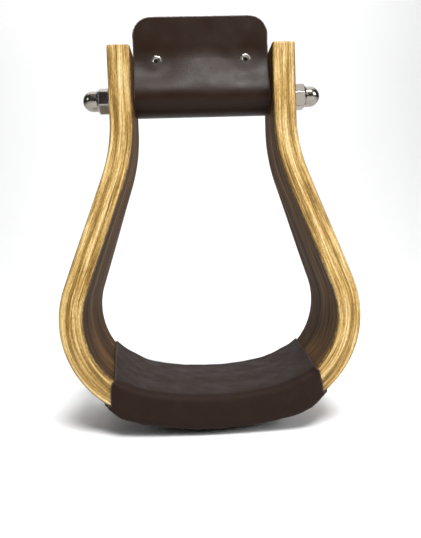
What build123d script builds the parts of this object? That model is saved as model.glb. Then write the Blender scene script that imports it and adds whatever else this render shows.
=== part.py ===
"""Western bentwood stirrup: a laminated hoop, a bolt with a leather-wrapped roller, and a laced leather tread.

Frame: +Z up, X across the stirrup from arm to arm, -Y towards the front. The origin is under the middle of
the tread, at the lowest point of the lacing. All sizes are in millimetres and all angles in degrees.
"""

from build123d import *

import os
from math import asin, atan2, cos, degrees, hypot, pi, radians, sin, tan

# ---- Hoop: bent laminated wood ----
NECK_GAP = 76.2  # clear width between the arms at the bolt, for a 3 inch stirrup leather
CORE_PLIES = 7  # light core veneers, counted from the inside of the hoop
CORE_PLY = 1.5
FACE_VENEER = 1.0  # dark figured veneer on the inner and the outer face
ARM_ABOVE_BOLT = 25.7
ARM_BELOW_BOLT = 14.5  # straight length between the bolt and the neck bend
NECK_BEND = 92.0  # radius of the middle of the hoop's thickness
FLANK_ANGLE = 19.5
FLANK_LENGTH = 63.0
CORNER_BEND = 47.5
TREAD_SLOPE = 12.3  # slope where the corner bend meets the tread's flat curve
ARM_WIDTH = 34.0  # front to back, at the top
TREAD_WIDTH = 64.0  # front to back, under the foot
FLARE_HEIGHT = 145.0  # how far below the bolt the full tread width is reached
EDGE_ROUND = 1.4

# ---- Bolt, washers and cap nuts: M8 ----
BOLT_RADIUS = 4.0
BOLT_HOLE_CLEARANCE = 0.25
BOLT_END_CHAMFER = 0.8
THREAD_ENGAGEMENT = 10.0
WASHER_RADIUS = 8.5
WASHER_THICKNESS = 1.6
WASHER_CHAMFER = 0.25
NUT_FLATS = 13.0
NUT_HEX_HEIGHT = 6.5
NUT_HEIGHT = 15.0
NUT_DOME_RADIUS = 5.6
NUT_BORE_DEPTH = 12.0
NUT_CHAMFER_ANGLE = 30.0

# ---- Roller and its leather wrap ----
ROLLER_RADIUS = 6.35
ROLLER_CLEARANCE = 0.1  # radial, on the bolt
END_CLEARANCE = 0.6  # between the roller or wrap and each arm
LEATHER = 3.2
WRAP_RISE = 44.8  # from the bolt's axis to the top of the two leaves
WRAP_CORNER = 10.5
LEAF_GAP = 0.3  # between the two leaves, which lie against each other
LEAF_BEND = 17.0  # radius of the leather's middle where a leaf turns up from the roller

# ---- Tubular rivets ----
RIVET_SPACING = 50.0
RIVET_ABOVE_BOLT = 20.5
RIVET_SHANK = 1.8
RIVET_BORE = 1.2
RIVET_HEAD = 3.6
RIVET_HEAD_THICKNESS = 1.0
RIVET_CLINCH = 2.8
RIVET_CLINCH_THICKNESS = 0.8

# ---- Leather tread cover and its lacing ----
COVER_REACH = 66.0  # from the middle of the tread to each end, along the bend
SEAM_GAP = 9.0  # between the cover's two edges, under the tread
LACE_WIDTH = 4.5
LACE_THICKNESS = 1.6
LACE_HOLE_REACH = 11.0  # from the seam's middle to a row of holes
LACE_PITCH = 15.5
LACE_STITCHES = 7  # an odd number, so that the middle stitch is the lowest
LACE_LIFT = 1.6  # gap between the lace's crown and the leather
LACE_CROWN_REACH = 7.0  # half the length of the crown's flat run

# ---- Sizes that follow ----
HOOP_THICKNESS = CORE_PLIES * CORE_PLY + 2 * FACE_VENEER
HALF_THICKNESS = HOOP_THICKNESS / 2
COVER_OUTSIDE = HALF_THICKNESS + LEATHER
WELL_CLEAR = 2 * NECK_GAP  # a reach that passes every face of the arms
TREAD_ANGLE = TREAD_SLOPE - 90  # turn of the outward normal where the tread curve starts
LACE_DEPTH = LACE_LIFT + LACE_THICKNESS


def outward(turn):
    """Unit vector out of the hoop where its normal has turned by this angle from +X towards +Z."""
    return Vector(cos(radians(turn)), 0, sin(radians(turn)))


def along(turn):
    """Unit vector down the hoop, from the arm towards the tread, where its normal has turned by this angle."""
    return Vector(sin(radians(turn)), 0, -cos(radians(turn)))


# The right arm's centreline, from the bolt down, with the bolt at height 0 for now.
neck_foot = Vector(NECK_GAP / 2 + HALF_THICKNESS, 0, -ARM_BELOW_BOLT)
neck_centre = neck_foot + NECK_BEND * outward(0)
flank_top = neck_centre - NECK_BEND * outward(FLANK_ANGLE)
flank_foot = flank_top + FLANK_LENGTH * along(FLANK_ANGLE)
corner_centre = flank_foot - CORNER_BEND * outward(FLANK_ANGLE)
tread_end = corner_centre + CORNER_BEND * outward(TREAD_ANGLE)
TREAD_BEND = tread_end.X / sin(radians(TREAD_SLOPE))
tread_centre = tread_end - TREAD_BEND * outward(TREAD_ANGLE)

# The bolt's height puts the lowest point of the lacing at zero.
BOLT_HEIGHT = TREAD_BEND - tread_centre.Z + COVER_OUTSIDE + LACE_DEPTH
rise = Vector(0, 0, BOLT_HEIGHT)
arm_top = Vector(NECK_GAP / 2 + HALF_THICKNESS, 0, BOLT_HEIGHT + ARM_ABOVE_BOLT)
neck_foot += rise
neck_centre += rise
flank_top += rise
flank_foot += rise
corner_centre += rise
tread_end += rise
tread_centre += rise
BOLT_AXIS = Location((0, 0, BOLT_HEIGHT), (0, 90, 0))  # local Z runs along +X


def mirrored(point):
    """The same point on the left arm."""
    return Vector(-point.X, point.Y, point.Z)


def arm_lines(offset):
    """Edges of the right arm's outline, from its top to the corner bend, at an offset out of the centreline."""
    top = arm_top + offset * outward(0)
    foot = neck_foot + offset * outward(0)
    bend_middle = neck_centre - (NECK_BEND - offset) * outward(FLANK_ANGLE / 2)
    bend_end = flank_top + offset * outward(FLANK_ANGLE)
    end = flank_foot + offset * outward(FLANK_ANGLE)
    return [Line(top, foot), ThreePointArc(foot, bend_middle, bend_end), Line(bend_end, end)]


def corner_arc(offset, start_turn):
    """The right corner bend at an offset, from a turn of its normal down to where the tread curve starts."""
    reach = CORNER_BEND + offset
    points = [corner_centre + reach * outward(turn) for turn in (
        start_turn, (start_turn + TREAD_ANGLE) / 2, TREAD_ANGLE)]
    return ThreePointArc(*points)


def tread_arc(offset):
    """The tread's flat curve at an offset, from right to left."""
    right = tread_end + offset * outward(TREAD_ANGLE)
    lowest = tread_centre - Vector(0, 0, TREAD_BEND + offset)
    return ThreePointArc(right, lowest, mirrored(right))


def band(inner, outer, start_turn=None):
    """Face between two offsets of the centreline: the whole hoop, or its foot from a turn of the corner bend."""
    sides = []
    for offset in (inner, outer):
        if start_turn is None:
            right = arm_lines(offset) + [corner_arc(offset, FLANK_ANGLE)]
        else:
            right = [corner_arc(offset, start_turn)]
        left = [edge.mirror(Plane.YZ) for edge in right]
        sides.append(right + [tread_arc(offset)] + left)
    ends = []
    for side in (1, -1):
        starts = [edges[0] @ 0 for edges in sides]
        if side < 0:
            starts = [mirrored(point) for point in starts]
        ends.append(Line(*starts))
    wire = Wire.combine(sides[0] + sides[1] + ends)[0]
    return Face(wire)


def thick(face, width):
    """The face in the XZ plane made into a solid of this width, centred front to back."""
    return extrude(face, amount=width / 2, dir=(0, 1, 0), both=True)


def side_profile():
    """Solid as wide as the hoop at every height: straight at the arms, then an S-curve out to the tread."""
    half_arm = ARM_WIDTH / 2
    half_tread = TREAD_WIDTH / 2
    swing = 2 * atan2(half_tread - half_arm, FLARE_HEIGHT)  # turn of each of the S-curve's two equal arcs
    radius = FLARE_HEIGHT / (2 * sin(swing))
    start = Vector(0, half_arm, BOLT_HEIGHT)
    end = Vector(0, half_tread, BOLT_HEIGHT - FLARE_HEIGHT)
    hollow = start + Vector(0, radius * (1 - cos(swing / 2)), -radius * sin(swing / 2))
    middle = (start + end) / 2
    bulge = start + end - hollow
    top = Vector(0, half_arm, arm_top.Z + HOOP_THICKNESS)
    bottom = Vector(0, half_tread, -HOOP_THICKNESS)
    side = [
        Line(top, start),
        ThreePointArc(start, hollow, middle),
        ThreePointArc(middle, bulge, end),
        Line(end, bottom),
    ]
    other_side = [edge.mirror(Plane.XZ) for edge in side]
    caps = [Line(point, Vector(0, -point.Y, point.Z)) for point in (top, bottom)]
    face = Face(Wire.combine(side + other_side + caps)[0])
    return extrude(face, amount=WELL_CLEAR, dir=(1, 0, 0), both=True)


def hoop_blank():
    """The whole hoop before it is divided into plies, with rounded edges and the bolt's two holes."""
    blank = thick(band(-HALF_THICKNESS, HALF_THICKNESS), TREAD_WIDTH) & side_profile()
    blank = fillet(blank.edges(), EDGE_ROUND)
    hole = Cylinder(BOLT_RADIUS + BOLT_HOLE_CLEARANCE, 2 * WELL_CLEAR)
    return blank - BOLT_AXIS * hole


def plies():
    """The laminations by name, from the inside out."""
    blank = hoop_blank()
    inside = -HALF_THICKNESS + FACE_VENEER
    spare = HALF_THICKNESS  # the face veneers' bands reach past the blank's own faces
    made = {"inner_face_veneer": blank & thick(band(-HALF_THICKNESS - spare, inside), 2 * TREAD_WIDTH)}
    for number in range(CORE_PLIES):
        start = inside + number * CORE_PLY
        made[f"core_ply_{number + 1}"] = blank & thick(band(start, start + CORE_PLY), 2 * TREAD_WIDTH)
    outside = HALF_THICKNESS - FACE_VENEER
    made["outer_face_veneer"] = blank & thick(band(outside, HALF_THICKNESS + spare), 2 * TREAD_WIDTH)
    return made


def stirrup_bolt():
    """Rod threaded at both ends, from cap nut to cap nut."""
    half = NECK_GAP / 2 + HOOP_THICKNESS + WASHER_THICKNESS + THREAD_ENGAGEMENT
    rod = Cylinder(BOLT_RADIUS, 2 * half)
    rod = chamfer(rod.edges().filter_by(GeomType.CIRCLE), BOLT_END_CHAMFER)
    return BOLT_AXIS * rod


def washer():
    """Flat washer standing on the XY plane."""
    ring = Cylinder(WASHER_RADIUS, WASHER_THICKNESS, align=(Align.CENTER, Align.CENTER, Align.MIN))
    ring = chamfer(ring.edges().filter_by(GeomType.CIRCLE), WASHER_CHAMFER)
    return ring - Cylinder(BOLT_RADIUS + BOLT_HOLE_CLEARANCE, 4 * WASHER_THICKNESS)


def cap_nut():
    """Domed cap nut standing on the XY plane, with its blind bore open below."""
    corner = NUT_FLATS / 2 / cos(pi / 6)
    shoulder = NUT_HEX_HEIGHT - (corner - NUT_DOME_RADIUS) * tan(radians(NUT_CHAMFER_ANGLE))
    hexagon = extrude(RegularPolygon(corner, 6), NUT_HEX_HEIGHT)
    turned = Polyline(
        (0, 0), (NUT_FLATS / 2, 0), (corner, (corner - NUT_FLATS / 2) * tan(radians(NUT_CHAMFER_ANGLE))),
        (corner, shoulder), (NUT_DOME_RADIUS, NUT_HEX_HEIGHT), (0, NUT_HEX_HEIGHT), (0, 0))
    hexagon &= revolve(Plane.XZ * make_face(turned), Axis.Z)
    neck = NUT_HEIGHT - NUT_DOME_RADIUS
    side = Polyline((0, NUT_HEIGHT), (0, 0), (NUT_DOME_RADIUS, 0), (NUT_DOME_RADIUS, neck))
    cap = RadiusArc((NUT_DOME_RADIUS, neck), (0, NUT_HEIGHT), -NUT_DOME_RADIUS)
    dome = revolve(Plane.XZ * make_face(side + cap), Axis.Z)
    bore = Cylinder(BOLT_RADIUS, NUT_BORE_DEPTH, align=(Align.CENTER, Align.CENTER, Align.MIN))
    return (hexagon + dome) - bore


def bolt_side(side, stand_off):
    """Place outside one arm on the bolt's axis, with local Z pointing away from the stirrup. side is 1 or -1."""
    reach = NECK_GAP / 2 + HOOP_THICKNESS + stand_off
    return Location((side * reach, 0, BOLT_HEIGHT), (0, side * 90, 0))


def roller():
    """Tube that turns on the bolt between the arms."""
    length = NECK_GAP - 2 * END_CLEARANCE
    tube = Cylinder(ROLLER_RADIUS, length) - Cylinder(BOLT_RADIUS + ROLLER_CLEARANCE, 2 * length)
    return BOLT_AXIS * tube


def leaf_lines(radius, bend, flat):
    """Half of one face of the wrap, in YZ round the bolt: up the roller from below, then up into a flat leaf.

    radius is the face's distance from the bolt's axis, bend its radius where the leaf turns up, and flat its
    distance from the middle plane in the leaf.
    """
    meet = asin((flat + bend) / (radius + bend))  # angle from the top of the roller to the start of the bend
    bend_centre = Vector(0, flat + bend, (radius + bend) * cos(meet))
    bottom = Vector(0, 0, -radius)
    side = Vector(0, radius * cos(meet / 2), -radius * sin(meet / 2))
    touch = Vector(0, radius * sin(meet), radius * cos(meet))
    halfway = (meet + pi / 2) / 2
    turning = bend_centre - bend * Vector(0, sin(halfway), cos(halfway))
    leaf_foot = Vector(0, flat, bend_centre.Z)
    leaf_top = Vector(0, flat, WRAP_RISE)
    return [
        ThreePointArc(bottom, side, touch),
        ThreePointArc(touch, turning, leaf_foot),
        Line(leaf_foot, leaf_top),
    ]


def bolt_wrap():
    """One strap of leather folded round the roller, with its two leaves riveted together above."""
    inner = leaf_lines(ROLLER_RADIUS, LEAF_BEND + LEATHER / 2, LEAF_GAP / 2)
    outer = leaf_lines(ROLLER_RADIUS + LEATHER, LEAF_BEND - LEATHER / 2, LEAF_GAP / 2 + LEATHER)
    right = inner + outer + [Line(inner[-1] @ 1, outer[-1] @ 1)]
    left = [edge.mirror(Plane.XZ) for edge in right]
    face = Face(Wire.combine(right + left)[0])
    strap = extrude(face, amount=NECK_GAP / 2 - END_CLEARANCE, dir=(1, 0, 0), both=True)
    corners = [
        edge for edge in strap.edges()
        if abs(edge.tangent_at(0.5).Y) > 0.99 and edge.center().Z > WRAP_RISE - 0.01
        and abs(edge.center().X) > NECK_GAP / 4
    ]
    strap = fillet(corners, WRAP_CORNER)
    for side in (1, -1):
        hole = Location((side * RIVET_SPACING / 2, 0, RIVET_ABOVE_BOLT), (90, 0, 0))
        strap -= hole * Cylinder(RIVET_SHANK, 4 * LEATHER)
    return Location((0, 0, BOLT_HEIGHT)) * strap


def rivet():
    """Tubular rivet through the two leaves: a domed head at the back and a clinched ring at the front."""
    grip = LEAF_GAP / 2 + LEATHER
    crown = grip + RIVET_HEAD_THICKNESS
    rim = grip + RIVET_HEAD_THICKNESS / 3
    head_side = Polyline((0, crown), (0, grip), (RIVET_HEAD, grip), (RIVET_HEAD, rim))
    dome_radius = (RIVET_HEAD ** 2 + (crown - rim) ** 2) / (2 * (crown - rim))
    head_face = make_face(head_side + RadiusArc((RIVET_HEAD, rim), (0, crown), -dome_radius))
    shank = Rot(90, 0, 0) * Cylinder(RIVET_SHANK, 2 * grip)
    lip = -grip - RIVET_CLINCH_THICKNESS / 2
    clinch_sides = Polyline((RIVET_BORE, lip), (RIVET_BORE, -grip), (RIVET_CLINCH, -grip), (RIVET_CLINCH, lip))
    roll = ThreePointArc(
        (RIVET_CLINCH, lip), ((RIVET_CLINCH + RIVET_BORE) / 2, -grip - RIVET_CLINCH_THICKNESS), (RIVET_BORE, lip))
    clinch_face = make_face(clinch_sides + roll)
    solid = revolve(head_face, Axis.Y) + shank + revolve(clinch_face, Axis.Y)
    bore = Pos(0, -grip, 0) * Rot(90, 0, 0) * Cylinder(RIVET_BORE, 2 * grip)
    return solid - bore


def tread_cover(lace):
    """Leather round the tread, open along a seam underneath, with holes and grooves for the lace."""
    bend_share = COVER_REACH - radians(TREAD_SLOPE) * TREAD_BEND  # the reach that lies on the corner bend
    start_turn = TREAD_ANGLE + degrees(bend_share / CORNER_BEND)
    outside = thick(band(-COVER_OUTSIDE, COVER_OUTSIDE, start_turn), TREAD_WIDTH + 2 * LEATHER)
    outside = fillet(outside.edges().filter_by(GeomType.CIRCLE), EDGE_ROUND + LEATHER)
    seam = thick(band(0, 2 * COVER_OUTSIDE, FLANK_ANGLE), SEAM_GAP)
    return outside - hoop_blank() - seam - lace


def under_tread(distance, height):
    """Place under the tread: distance along its curve from the middle, height out of the wood's outer face.

    Local Z points out of the wood and local X along the curve.
    """
    turn = distance / (TREAD_BEND + HALF_THICKNESS)
    reach = TREAD_BEND + HALF_THICKNESS + height
    point = tread_centre + Vector(reach * sin(turn), 0, -reach * cos(turn))
    return Location(Plane(point, x_dir=(cos(turn), 0, sin(turn)), z_dir=(sin(turn), 0, -cos(turn))))


def lacing():
    """Flat lace that crosses the seam slantwise outside the leather and comes back slantwise inside it."""
    slant = LACE_PITCH / 2
    length = hypot(slant, 2 * LACE_HOLE_REACH)
    angle = degrees(atan2(2 * LACE_HOLE_REACH, slant))
    hole = length / 2
    half_lace = LACE_THICKNESS / 2
    crown = hole * LACE_CROWN_REACH / LACE_HOLE_REACH
    above = LEATHER + LACE_LIFT
    upper = [
        (hole + half_lace, 0), (hole + half_lace, LEATHER + half_lace), (crown, above + LACE_THICKNESS),
        (-crown, above + LACE_THICKNESS), (-hole - half_lace, LEATHER + half_lace), (-hole - half_lace, 0)]
    lower = [
        (-hole + half_lace, 0), (-hole + half_lace, LEATHER), (-crown, above), (crown, above),
        (hole - half_lace, LEATHER), (hole - half_lace, 0)]
    stitch = make_face(Polyline(upper + lower + upper[:1]))
    over = extrude(Plane.XZ * stitch, LACE_WIDTH / 2, both=True)
    under = Pos(0, 0, half_lace) * Box(length + LACE_THICKNESS, LACE_WIDTH, LACE_THICKNESS)
    first = -(LACE_STITCHES - 1) / 2 * LACE_PITCH
    lace = under_tread(first, 0) * Rot(0, 0, angle) * over
    for number in range(1, LACE_STITCHES):
        place = first + number * LACE_PITCH
        lace += under_tread(place - slant, 0) * Rot(0, 0, -angle) * under
        lace += under_tread(place, 0) * Rot(0, 0, angle) * over
    return lace


def main():
    """Builds every piece and writes one STEP file for each."""
    os.makedirs("parts", exist_ok=True)
    parts = plies()
    parts["stirrup_bolt"] = stirrup_bolt()
    for name, side in (("left", -1), ("right", 1)):
        parts[f"{name}_washer"] = bolt_side(side, 0) * washer()
        parts[f"{name}_cap_nut"] = bolt_side(side, WASHER_THICKNESS) * cap_nut()
        parts[f"{name}_wrap_rivet"] = Pos(side * RIVET_SPACING / 2, 0, BOLT_HEIGHT + RIVET_ABOVE_BOLT) * rivet()
    parts["bolt_roller"] = roller()
    parts["bolt_wrap"] = bolt_wrap()
    parts["tread_lace"] = lacing()
    parts["tread_cover"] = tread_cover(parts["tread_lace"])
    for name, shape in parts.items():
        export_step(shape, f"parts/{name}.step")


main()
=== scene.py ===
"""Western bentwood stirrup: the visible pieces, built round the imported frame, with their finishes.

Everything is in metres in the frame's own axes: +Z up, X across the stirrup, -Y towards the front, and
the origin under the middle of the tread. Most pieces are made as the real ones are: flat first, in
coordinates along, across and through the material, and then bent round a form. The flat coordinates stay
on the mesh as the attribute "unrolled", which the wood's grain and the leather's grain follow round every
bend.
"""

from __future__ import annotations

import logging
import math
from collections.abc import Callable, Iterable
from dataclasses import dataclass, field
from enum import Enum

import bpy
import numpy as np
from mathutils import Euler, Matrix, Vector

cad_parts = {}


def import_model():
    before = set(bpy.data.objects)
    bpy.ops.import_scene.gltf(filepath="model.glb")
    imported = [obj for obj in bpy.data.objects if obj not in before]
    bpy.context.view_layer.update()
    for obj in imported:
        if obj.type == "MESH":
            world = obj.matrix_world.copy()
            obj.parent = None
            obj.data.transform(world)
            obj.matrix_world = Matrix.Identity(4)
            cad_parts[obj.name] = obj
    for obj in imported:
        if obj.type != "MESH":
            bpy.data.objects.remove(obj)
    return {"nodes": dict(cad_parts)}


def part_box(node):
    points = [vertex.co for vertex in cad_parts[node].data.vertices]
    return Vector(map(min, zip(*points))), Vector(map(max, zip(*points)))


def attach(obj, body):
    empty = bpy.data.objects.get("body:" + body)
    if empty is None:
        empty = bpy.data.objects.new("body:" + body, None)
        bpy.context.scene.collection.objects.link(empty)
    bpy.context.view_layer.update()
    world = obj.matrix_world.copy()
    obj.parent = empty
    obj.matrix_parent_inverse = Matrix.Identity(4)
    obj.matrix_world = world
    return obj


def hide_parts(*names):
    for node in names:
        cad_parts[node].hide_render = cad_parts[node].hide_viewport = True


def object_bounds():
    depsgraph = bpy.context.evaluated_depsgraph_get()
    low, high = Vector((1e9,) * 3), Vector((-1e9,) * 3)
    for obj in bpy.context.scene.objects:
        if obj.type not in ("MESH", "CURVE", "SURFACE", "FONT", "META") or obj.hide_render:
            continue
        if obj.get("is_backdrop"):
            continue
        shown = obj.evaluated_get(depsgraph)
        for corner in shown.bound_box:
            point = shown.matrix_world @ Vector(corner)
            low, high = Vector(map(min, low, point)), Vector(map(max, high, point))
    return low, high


MM = 0.001
UNROLLED = "unrolled"  # point attribute: place in the flat material before bending
CUT_EDGE = "cut_edge"  # face attribute: 1 on the cut edges of a piece of leather

log = logging.getLogger("stirrup")

Colour = tuple[float, float, float, float]
Point = tuple[float, float, float]


class Body(str, Enum):
    """The frame's rigid bodies."""

    HOOP = "hoop"
    ROLLER = "roller"


class Side(Enum):
    """The two arms, as the sign of X."""

    LEFT = -1
    RIGHT = 1


class Slot(str, Enum):
    """The record's material slots."""

    FACE = "face_veneer"
    CORE = "core_veneer"
    STEEL = "bolt_steel"
    NICKEL = "nickel_plate"
    RIVET = "rivet_steel"
    LEATHER = "harness_leather"
    LACE = "lace_leather"


# --------------------------------------------------------------------------------------------------
# Small helpers
# --------------------------------------------------------------------------------------------------


def hex_colour(code: str) -> Colour:
    """Turn an sRGB hex code into the linear colour that a shader socket takes.

    Args:
        code: six hex digits, with or without a leading #.

    Returns:
        Linear red, green, blue and an alpha of 1.
    """
    digits = code.lstrip("#")
    channels = [int(digits[i:i + 2], 16) / 255 for i in (0, 2, 4)]
    linear = [c / 12.92 if c <= 0.04045 else ((c + 0.055) / 1.055) ** 2.4 for c in channels]
    return (*linear, 1.0)


def add(tree: bpy.types.NodeTree, kind: str, inputs: dict | None = None, **settings) -> bpy.types.Node:
    """Add one node to a tree.

    Args:
        tree: the shader or geometry tree.
        kind: the node's type.
        inputs: values for its sockets by name or number; an output socket is linked instead.
        **settings: the node's own properties.

    Returns:
        The new node.
    """
    node = tree.nodes.new(kind)
    for name, value in settings.items():
        setattr(node, name, value)
    for key, value in (inputs or {}).items():
        if isinstance(value, bpy.types.NodeSocket):
            tree.links.new(value, node.inputs[key])
        else:
            node.inputs[key].default_value = value
    return node


def new_tree(name: str, sockets: dict[str, str]) -> tuple[bpy.types.NodeTree, bpy.types.Node, bpy.types.Node]:
    """Start a geometry tree with named inputs and one geometry output.

    Args:
        name: the tree's name.
        sockets: socket type for each input's name.

    Returns:
        The tree, its input node and its output node.
    """
    tree = bpy.data.node_groups.new(name, "GeometryNodeTree")
    for label, kind in sockets.items():
        tree.interface.new_socket(name=label, in_out="INPUT", socket_type=kind)
    tree.interface.new_socket(name="Geometry", in_out="OUTPUT", socket_type="NodeSocketGeometry")
    return tree, add(tree, "NodeGroupInput"), add(tree, "NodeGroupOutput")


def run_tree(obj: bpy.types.Object, tree: bpy.types.NodeTree, values: dict) -> bpy.types.Object:
    """Run a geometry tree on an object and keep the result as its plain mesh.

    Args:
        obj: the object that the tree works on; a mesh.
        tree: the geometry tree.
        values: values for the tree's inputs, by name.

    Returns:
        The same object with its mesh replaced and no modifier left.
    """
    modifier = obj.modifiers.new(tree.name, "NODES")
    modifier.node_group = tree
    for item in tree.interface.items_tree:
        if item.item_type == "SOCKET" and item.in_out == "INPUT" and item.name in values:
            modifier[item.identifier] = values[item.name]
    evaluated = obj.evaluated_get(bpy.context.evaluated_depsgraph_get())
    mesh = bpy.data.meshes.new_from_object(evaluated)
    obj.modifiers.clear()
    obj.data = mesh
    return obj


def bake_modifiers(obj: bpy.types.Object) -> bpy.types.Object:
    """Turn the object's live modifiers into its plain mesh, and return the object."""
    evaluated = obj.evaluated_get(bpy.context.evaluated_depsgraph_get())
    mesh = bpy.data.meshes.new_from_object(evaluated)
    obj.modifiers.clear()
    obj.data = mesh
    return obj


def mesh_object(name: str, vertices: Iterable, faces: Iterable, sharp_angle: float = 40.0) -> bpy.types.Object:
    """Make a mesh object in the scene, smooth except across edges sharper than an angle.

    Args:
        name: the piece's name.
        vertices: points in metres.
        faces: tuples of vertex numbers, anticlockwise from outside.
        sharp_angle: the least angle in degrees that stays a crisp edge.

    Returns:
        The new object.
    """
    mesh = bpy.data.meshes.new(name)
    mesh.from_pydata([tuple(v) for v in vertices], [], [tuple(f) for f in faces])
    mesh.polygons.foreach_set("use_smooth", [True] * len(mesh.polygons))
    mesh.set_sharp_from_angle(angle=math.radians(sharp_angle))
    mesh.update()
    obj = bpy.data.objects.new(name, mesh)
    bpy.context.scene.collection.objects.link(obj)
    return obj


def settle(obj: bpy.types.Object, body: Body, slot: Slot, *nodes: str) -> bpy.types.Object:
    """Put a finished piece on its body, in place of the CAD nodes it stands for.

    Args:
        obj: the finished piece.
        body: the body it moves with.
        slot: the record's slot for its finish; not used.
        *nodes: the CAD nodes it replaces.

    Returns:
        The same object.
    """
    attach(obj, body.value)
    if nodes:
        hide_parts(*nodes)
    log.info("%s: %d faces, on %s", obj.name, len(obj.data.polygons), body.value)
    return obj


def wave(x: np.ndarray, seed: int, wavelength: float) -> np.ndarray:
    """Smooth irregular curve between about -1 and 1, the same for each seed.

    Args:
        x: places along it.
        seed: which curve.
        wavelength: its longest wavelength, in the units of x.

    Returns:
        The curve's values at x.
    """
    rng = np.random.default_rng(seed)
    total = np.zeros_like(np.asarray(x, dtype=float))
    for octave, weight in ((1.0, 0.55), (1.9, 0.3), (3.7, 0.15)):
        total += weight * np.sin(2 * math.pi * octave * x / wavelength + rng.uniform(0, 2 * math.pi))
    return total


def rounding(depth: np.ndarray, radius: float) -> np.ndarray:
    """How far a rounded edge has drawn in.

    Args:
        depth: distance in from the face.
        radius: the edge's radius.

    Returns:
        The inset: the radius at the face itself, and nothing from one radius in.
    """
    reach = np.clip(radius - depth, 0, radius)
    return radius - np.sqrt(np.maximum(radius * radius - reach * reach, 0))


# --------------------------------------------------------------------------------------------------
# Flat slabs and the forms they are bent round
# --------------------------------------------------------------------------------------------------


SEEN_FROM_ABOVE = ((0, 0), (1, 0), (1, 1), (0, 1))  # corners of a grid cell, anticlockwise from above
SEEN_FROM_BELOW = ((0, 0), (0, 1), (1, 1), (1, 0))


@dataclass(frozen=True)
class Hole:
    """A round hole through a flat slab, in millimetres, at a place along and across it."""

    along: float
    across: float
    radius: float

    def lines(self, centre: float) -> list[float]:
        """Grid lines that the hole needs about one of its two coordinates."""
        block = 0.72 * self.radius
        return [centre + share * block for share in (-2.1, -1, -0.5, 0, 0.5, 1, 2.1)]


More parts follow.
